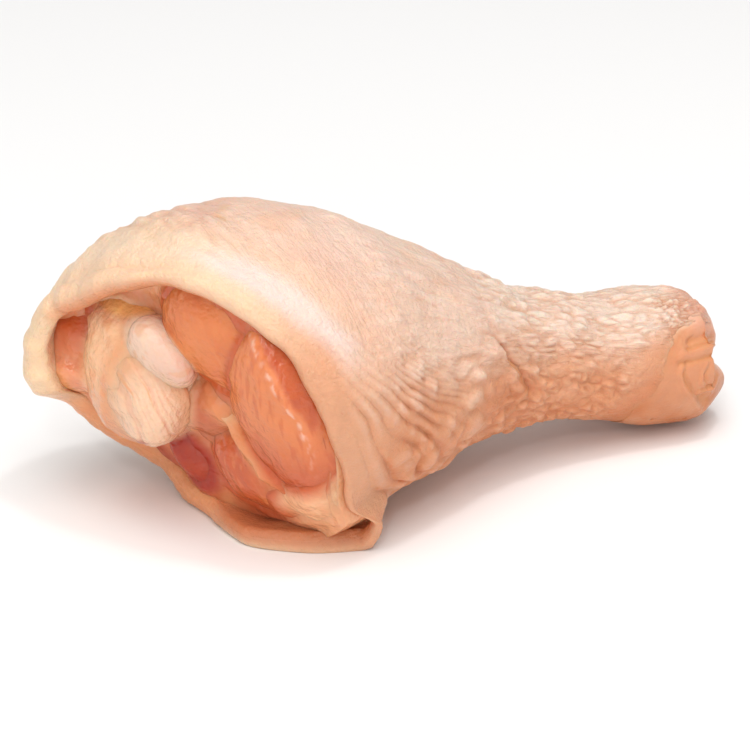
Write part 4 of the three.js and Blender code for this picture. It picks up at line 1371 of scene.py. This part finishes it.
# The grey-brown flexor in the middle.
made = lay_muscle("flexor", weld=2.2, lump=0.25, fibre=0.05, edge=GREY_BROWN)
tone = mix(GREY_BROWN, BROWN_PINK, 0.2 + 0.6 * ripple(made["grid"], 5.0, 2, 7.0))
finish_muscle("flexor_meat", made, tone, 2.0, wet_muscle, "flexor_muscle")

# The brownish inner calf below the seam.
made = lay_muscle("inner_calf", weld=1.8, lump=0.35, fibre=0.1, edge=BROWN_PINK)
tone = mix(BROWN_PINK, DEEP_SALMON, 0.3 + 0.7 * ripple(made["grid"], 5.0, 2, 1.0))
tone = mix(tone, SEAM_CREAM, 0.3 * ramp(made["strands"], 0.1, 0.5))
tone = mix(tone, SALMON, 0.6 * ramp(-made["u"], 0, 7))
finish_muscle("inner_calf_meat", made, tone, 1.6, wet_muscle, "inner_calf_muscle")

# The dark red flexor in the hollow beyond it.
made = lay_muscle("deep_flexor", weld=1.4, lump=0.2, fibre=0.05, edge=DARK_RED)
tone = mix(DARK_RED, DEEP_SALMON, 0.1 + 0.4 * ripple(made["grid"], 4.0, 2, 2.0))
finish_muscle("deep_flexor_meat", made, tone, 1.2, wet_muscle, "deep_flexor_muscle")

# The muscle on the far side, behind the knee.
made = lay_muscle("far", weld=1.8, lump=0.45, fibre=0.1, edge=DEEP_SALMON)
tone = mix(FAR_PINK, SALMON, 0.4 + 0.6 * ripple(made["grid"], 3.0, 2, 8.0))
finish_muscle("far_meat", made, tone, 1.2, wet_muscle, "far_muscle")

# The cream fat that lies on the folded-out skin at the lower edge.
made = lay_muscle("lower_fat", weld=1.2, lump=0.5, fibre=0.08, edge=FAT_PALE, lowest=4.0)
tone = mix(FAT_PALE, FAT_CREAM, 0.25 + 0.8 * ripple(made["grid"], 3.0, 2, 6.0))
finish_muscle("fat_on_the_flap", made, tone, 1.4, soft_fat, "lower_fat")


# ---------------------------------------------------------------- meat round the bone
# What fills the rest of the sleeve: meat and thin pale skins between the muscles, set back in the open face
# and running to the hock.

MEAT_END = 45.5
LOWEST_MEAT = 2.5
INTO_FLAP = 2.5  # how far it reaches into the folded-out skin, which stands further out than that
MEAT_WELD = 2.5
CORE_COLUMNS = 220
FRONT_RINGS = 90
EDGE_RINGS = 2  # the last of them, which lie smooth against the skin
WALL_RINGS = 40
core_angles = np.linspace(0, 360, CORE_COLUMNS, endpoint=False)[None, :]
FORWARD = within(core_angles, 264, 384, 26)  # where the meat comes forward to the skin's edge


def core_front(share):
    """A ring of the recessed face, at a share of the way from its middle to the skin."""
    x = np.full(core_angles.shape, FACE["x"] + FACE["recess"])
    rim = rim_x(core_angles) + 1.6 + 3.5 * within(core_angles, 336, 390, 14)
    for _ in range(14):
        edge_x = np.minimum(x, rim) * FORWARD + x * (1 - FORWARD)
        inset = np.maximum(tissue_inset(edge_x, core_angles), -INTO_FLAP)
        edge = leg_point(edge_x, core_angles, inset, LOWEST_MEAT)
        place = edge * share + np.array([0, AXIS_Y, FACE["z"]]) * (1 - share)
        recessed = FACE["x"] + FACE["recess"] + face_lean(place[..., 1], place[..., 2])
        forward = np.minimum(rim - recessed, 0) * FORWARD * ramp(share, 0.5, 1)
        x = 0.5 * x + 0.5 * (recessed + forward)
    place[..., 0] = x
    return place


front_rings = np.concatenate([core_front(s) for s in np.linspace(0.02, 1, FRONT_RINGS)])
edge_x = front_rings[-1:, :, 0]
wall_share = np.linspace(0, 1, WALL_RINGS)[1:, None] ** 1.4
wall_x = edge_x + (MEAT_END - edge_x) * wall_share
wall_angles = core_angles + 0 * wall_x
wall_inset = np.maximum(tissue_inset(wall_x, wall_angles), -INTO_FLAP)
wall = leg_point(wall_x, wall_angles, wall_inset, LOWEST_MEAT)
grid = np.concatenate([front_rings, wall])
normal = normals_of(grid, False, True, len(grid) - 1)
gap, beside = neighbours(grid)
front_part = np.zeros(grid.shape[:2])
front_part[: FRONT_RINGS - EDGE_RINGS] = 1
lumps = 0.5 * ripple(grid, 5.0, 2, 0.4) + 0.15 * ripple(grid, 1.8, 2, 4.0)
relief = front_part * lumps + fillet(gap, MEAT_WELD) * front_part
core_shape = grid + normal * relief[..., None]
core_shape[..., 2] = np.maximum(core_shape[..., 2], LOWEST_MEAT)
FASCIA = hex_colour("E39A6C")
FASCIA_RED = hex_colour("D4744A")
FASCIA_PAINTED_LIGHT = hex_colour("FBBE90")
AMBER_FAT = hex_colour("EBAA70")
tone = mix(FASCIA, FASCIA_RED, 0.5 + 0.8 * ripple(grid, 4.0, 2, 2.0))
ring = np.arange(len(grid))[:, None] / FRONT_RINGS  # 1 where the face meets the skin
# Painted light: the meat right under the collar is made paler against the collar's shade.
tone = mix(tone, FASCIA_PAINTED_LIGHT, 0.8 * within(core_angles, 60, 130, 20) * ramp(ring, 0.5, 0.8))
# Painted shade in the crease where the meat meets the skin on the lower far side.
tone = mix(tone, CREASE_SHADE, 0.8 * within(core_angles, 290, 326, 14) * ramp(ring, 0.8, 0.92))
tone = mix(tone, FAR_PINK, 0.5 * within(core_angles, 330, 384, 12) * ramp(ring, 0.5, 0.8))
tone = mix(tone, AMBER_FAT, 0.6 * within(core_angles, 335, 352, 8) * ramp(ring, 0.84, 0.93))
tone = mix(tone, FAT_PALE, within(core_angles, 196, 250, 16) * ramp(ring, 0.7, 0.85))
tone = mix(tone, beside, front_part * (1 - ramp(gap, -0.3, 1.6)))
core = grid_piece("meat_round_the_bone", core_shape, False, True, {"tone": tone})
core.data.materials.append(wet_muscle)
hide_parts("shank_meat")
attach(core, "root")
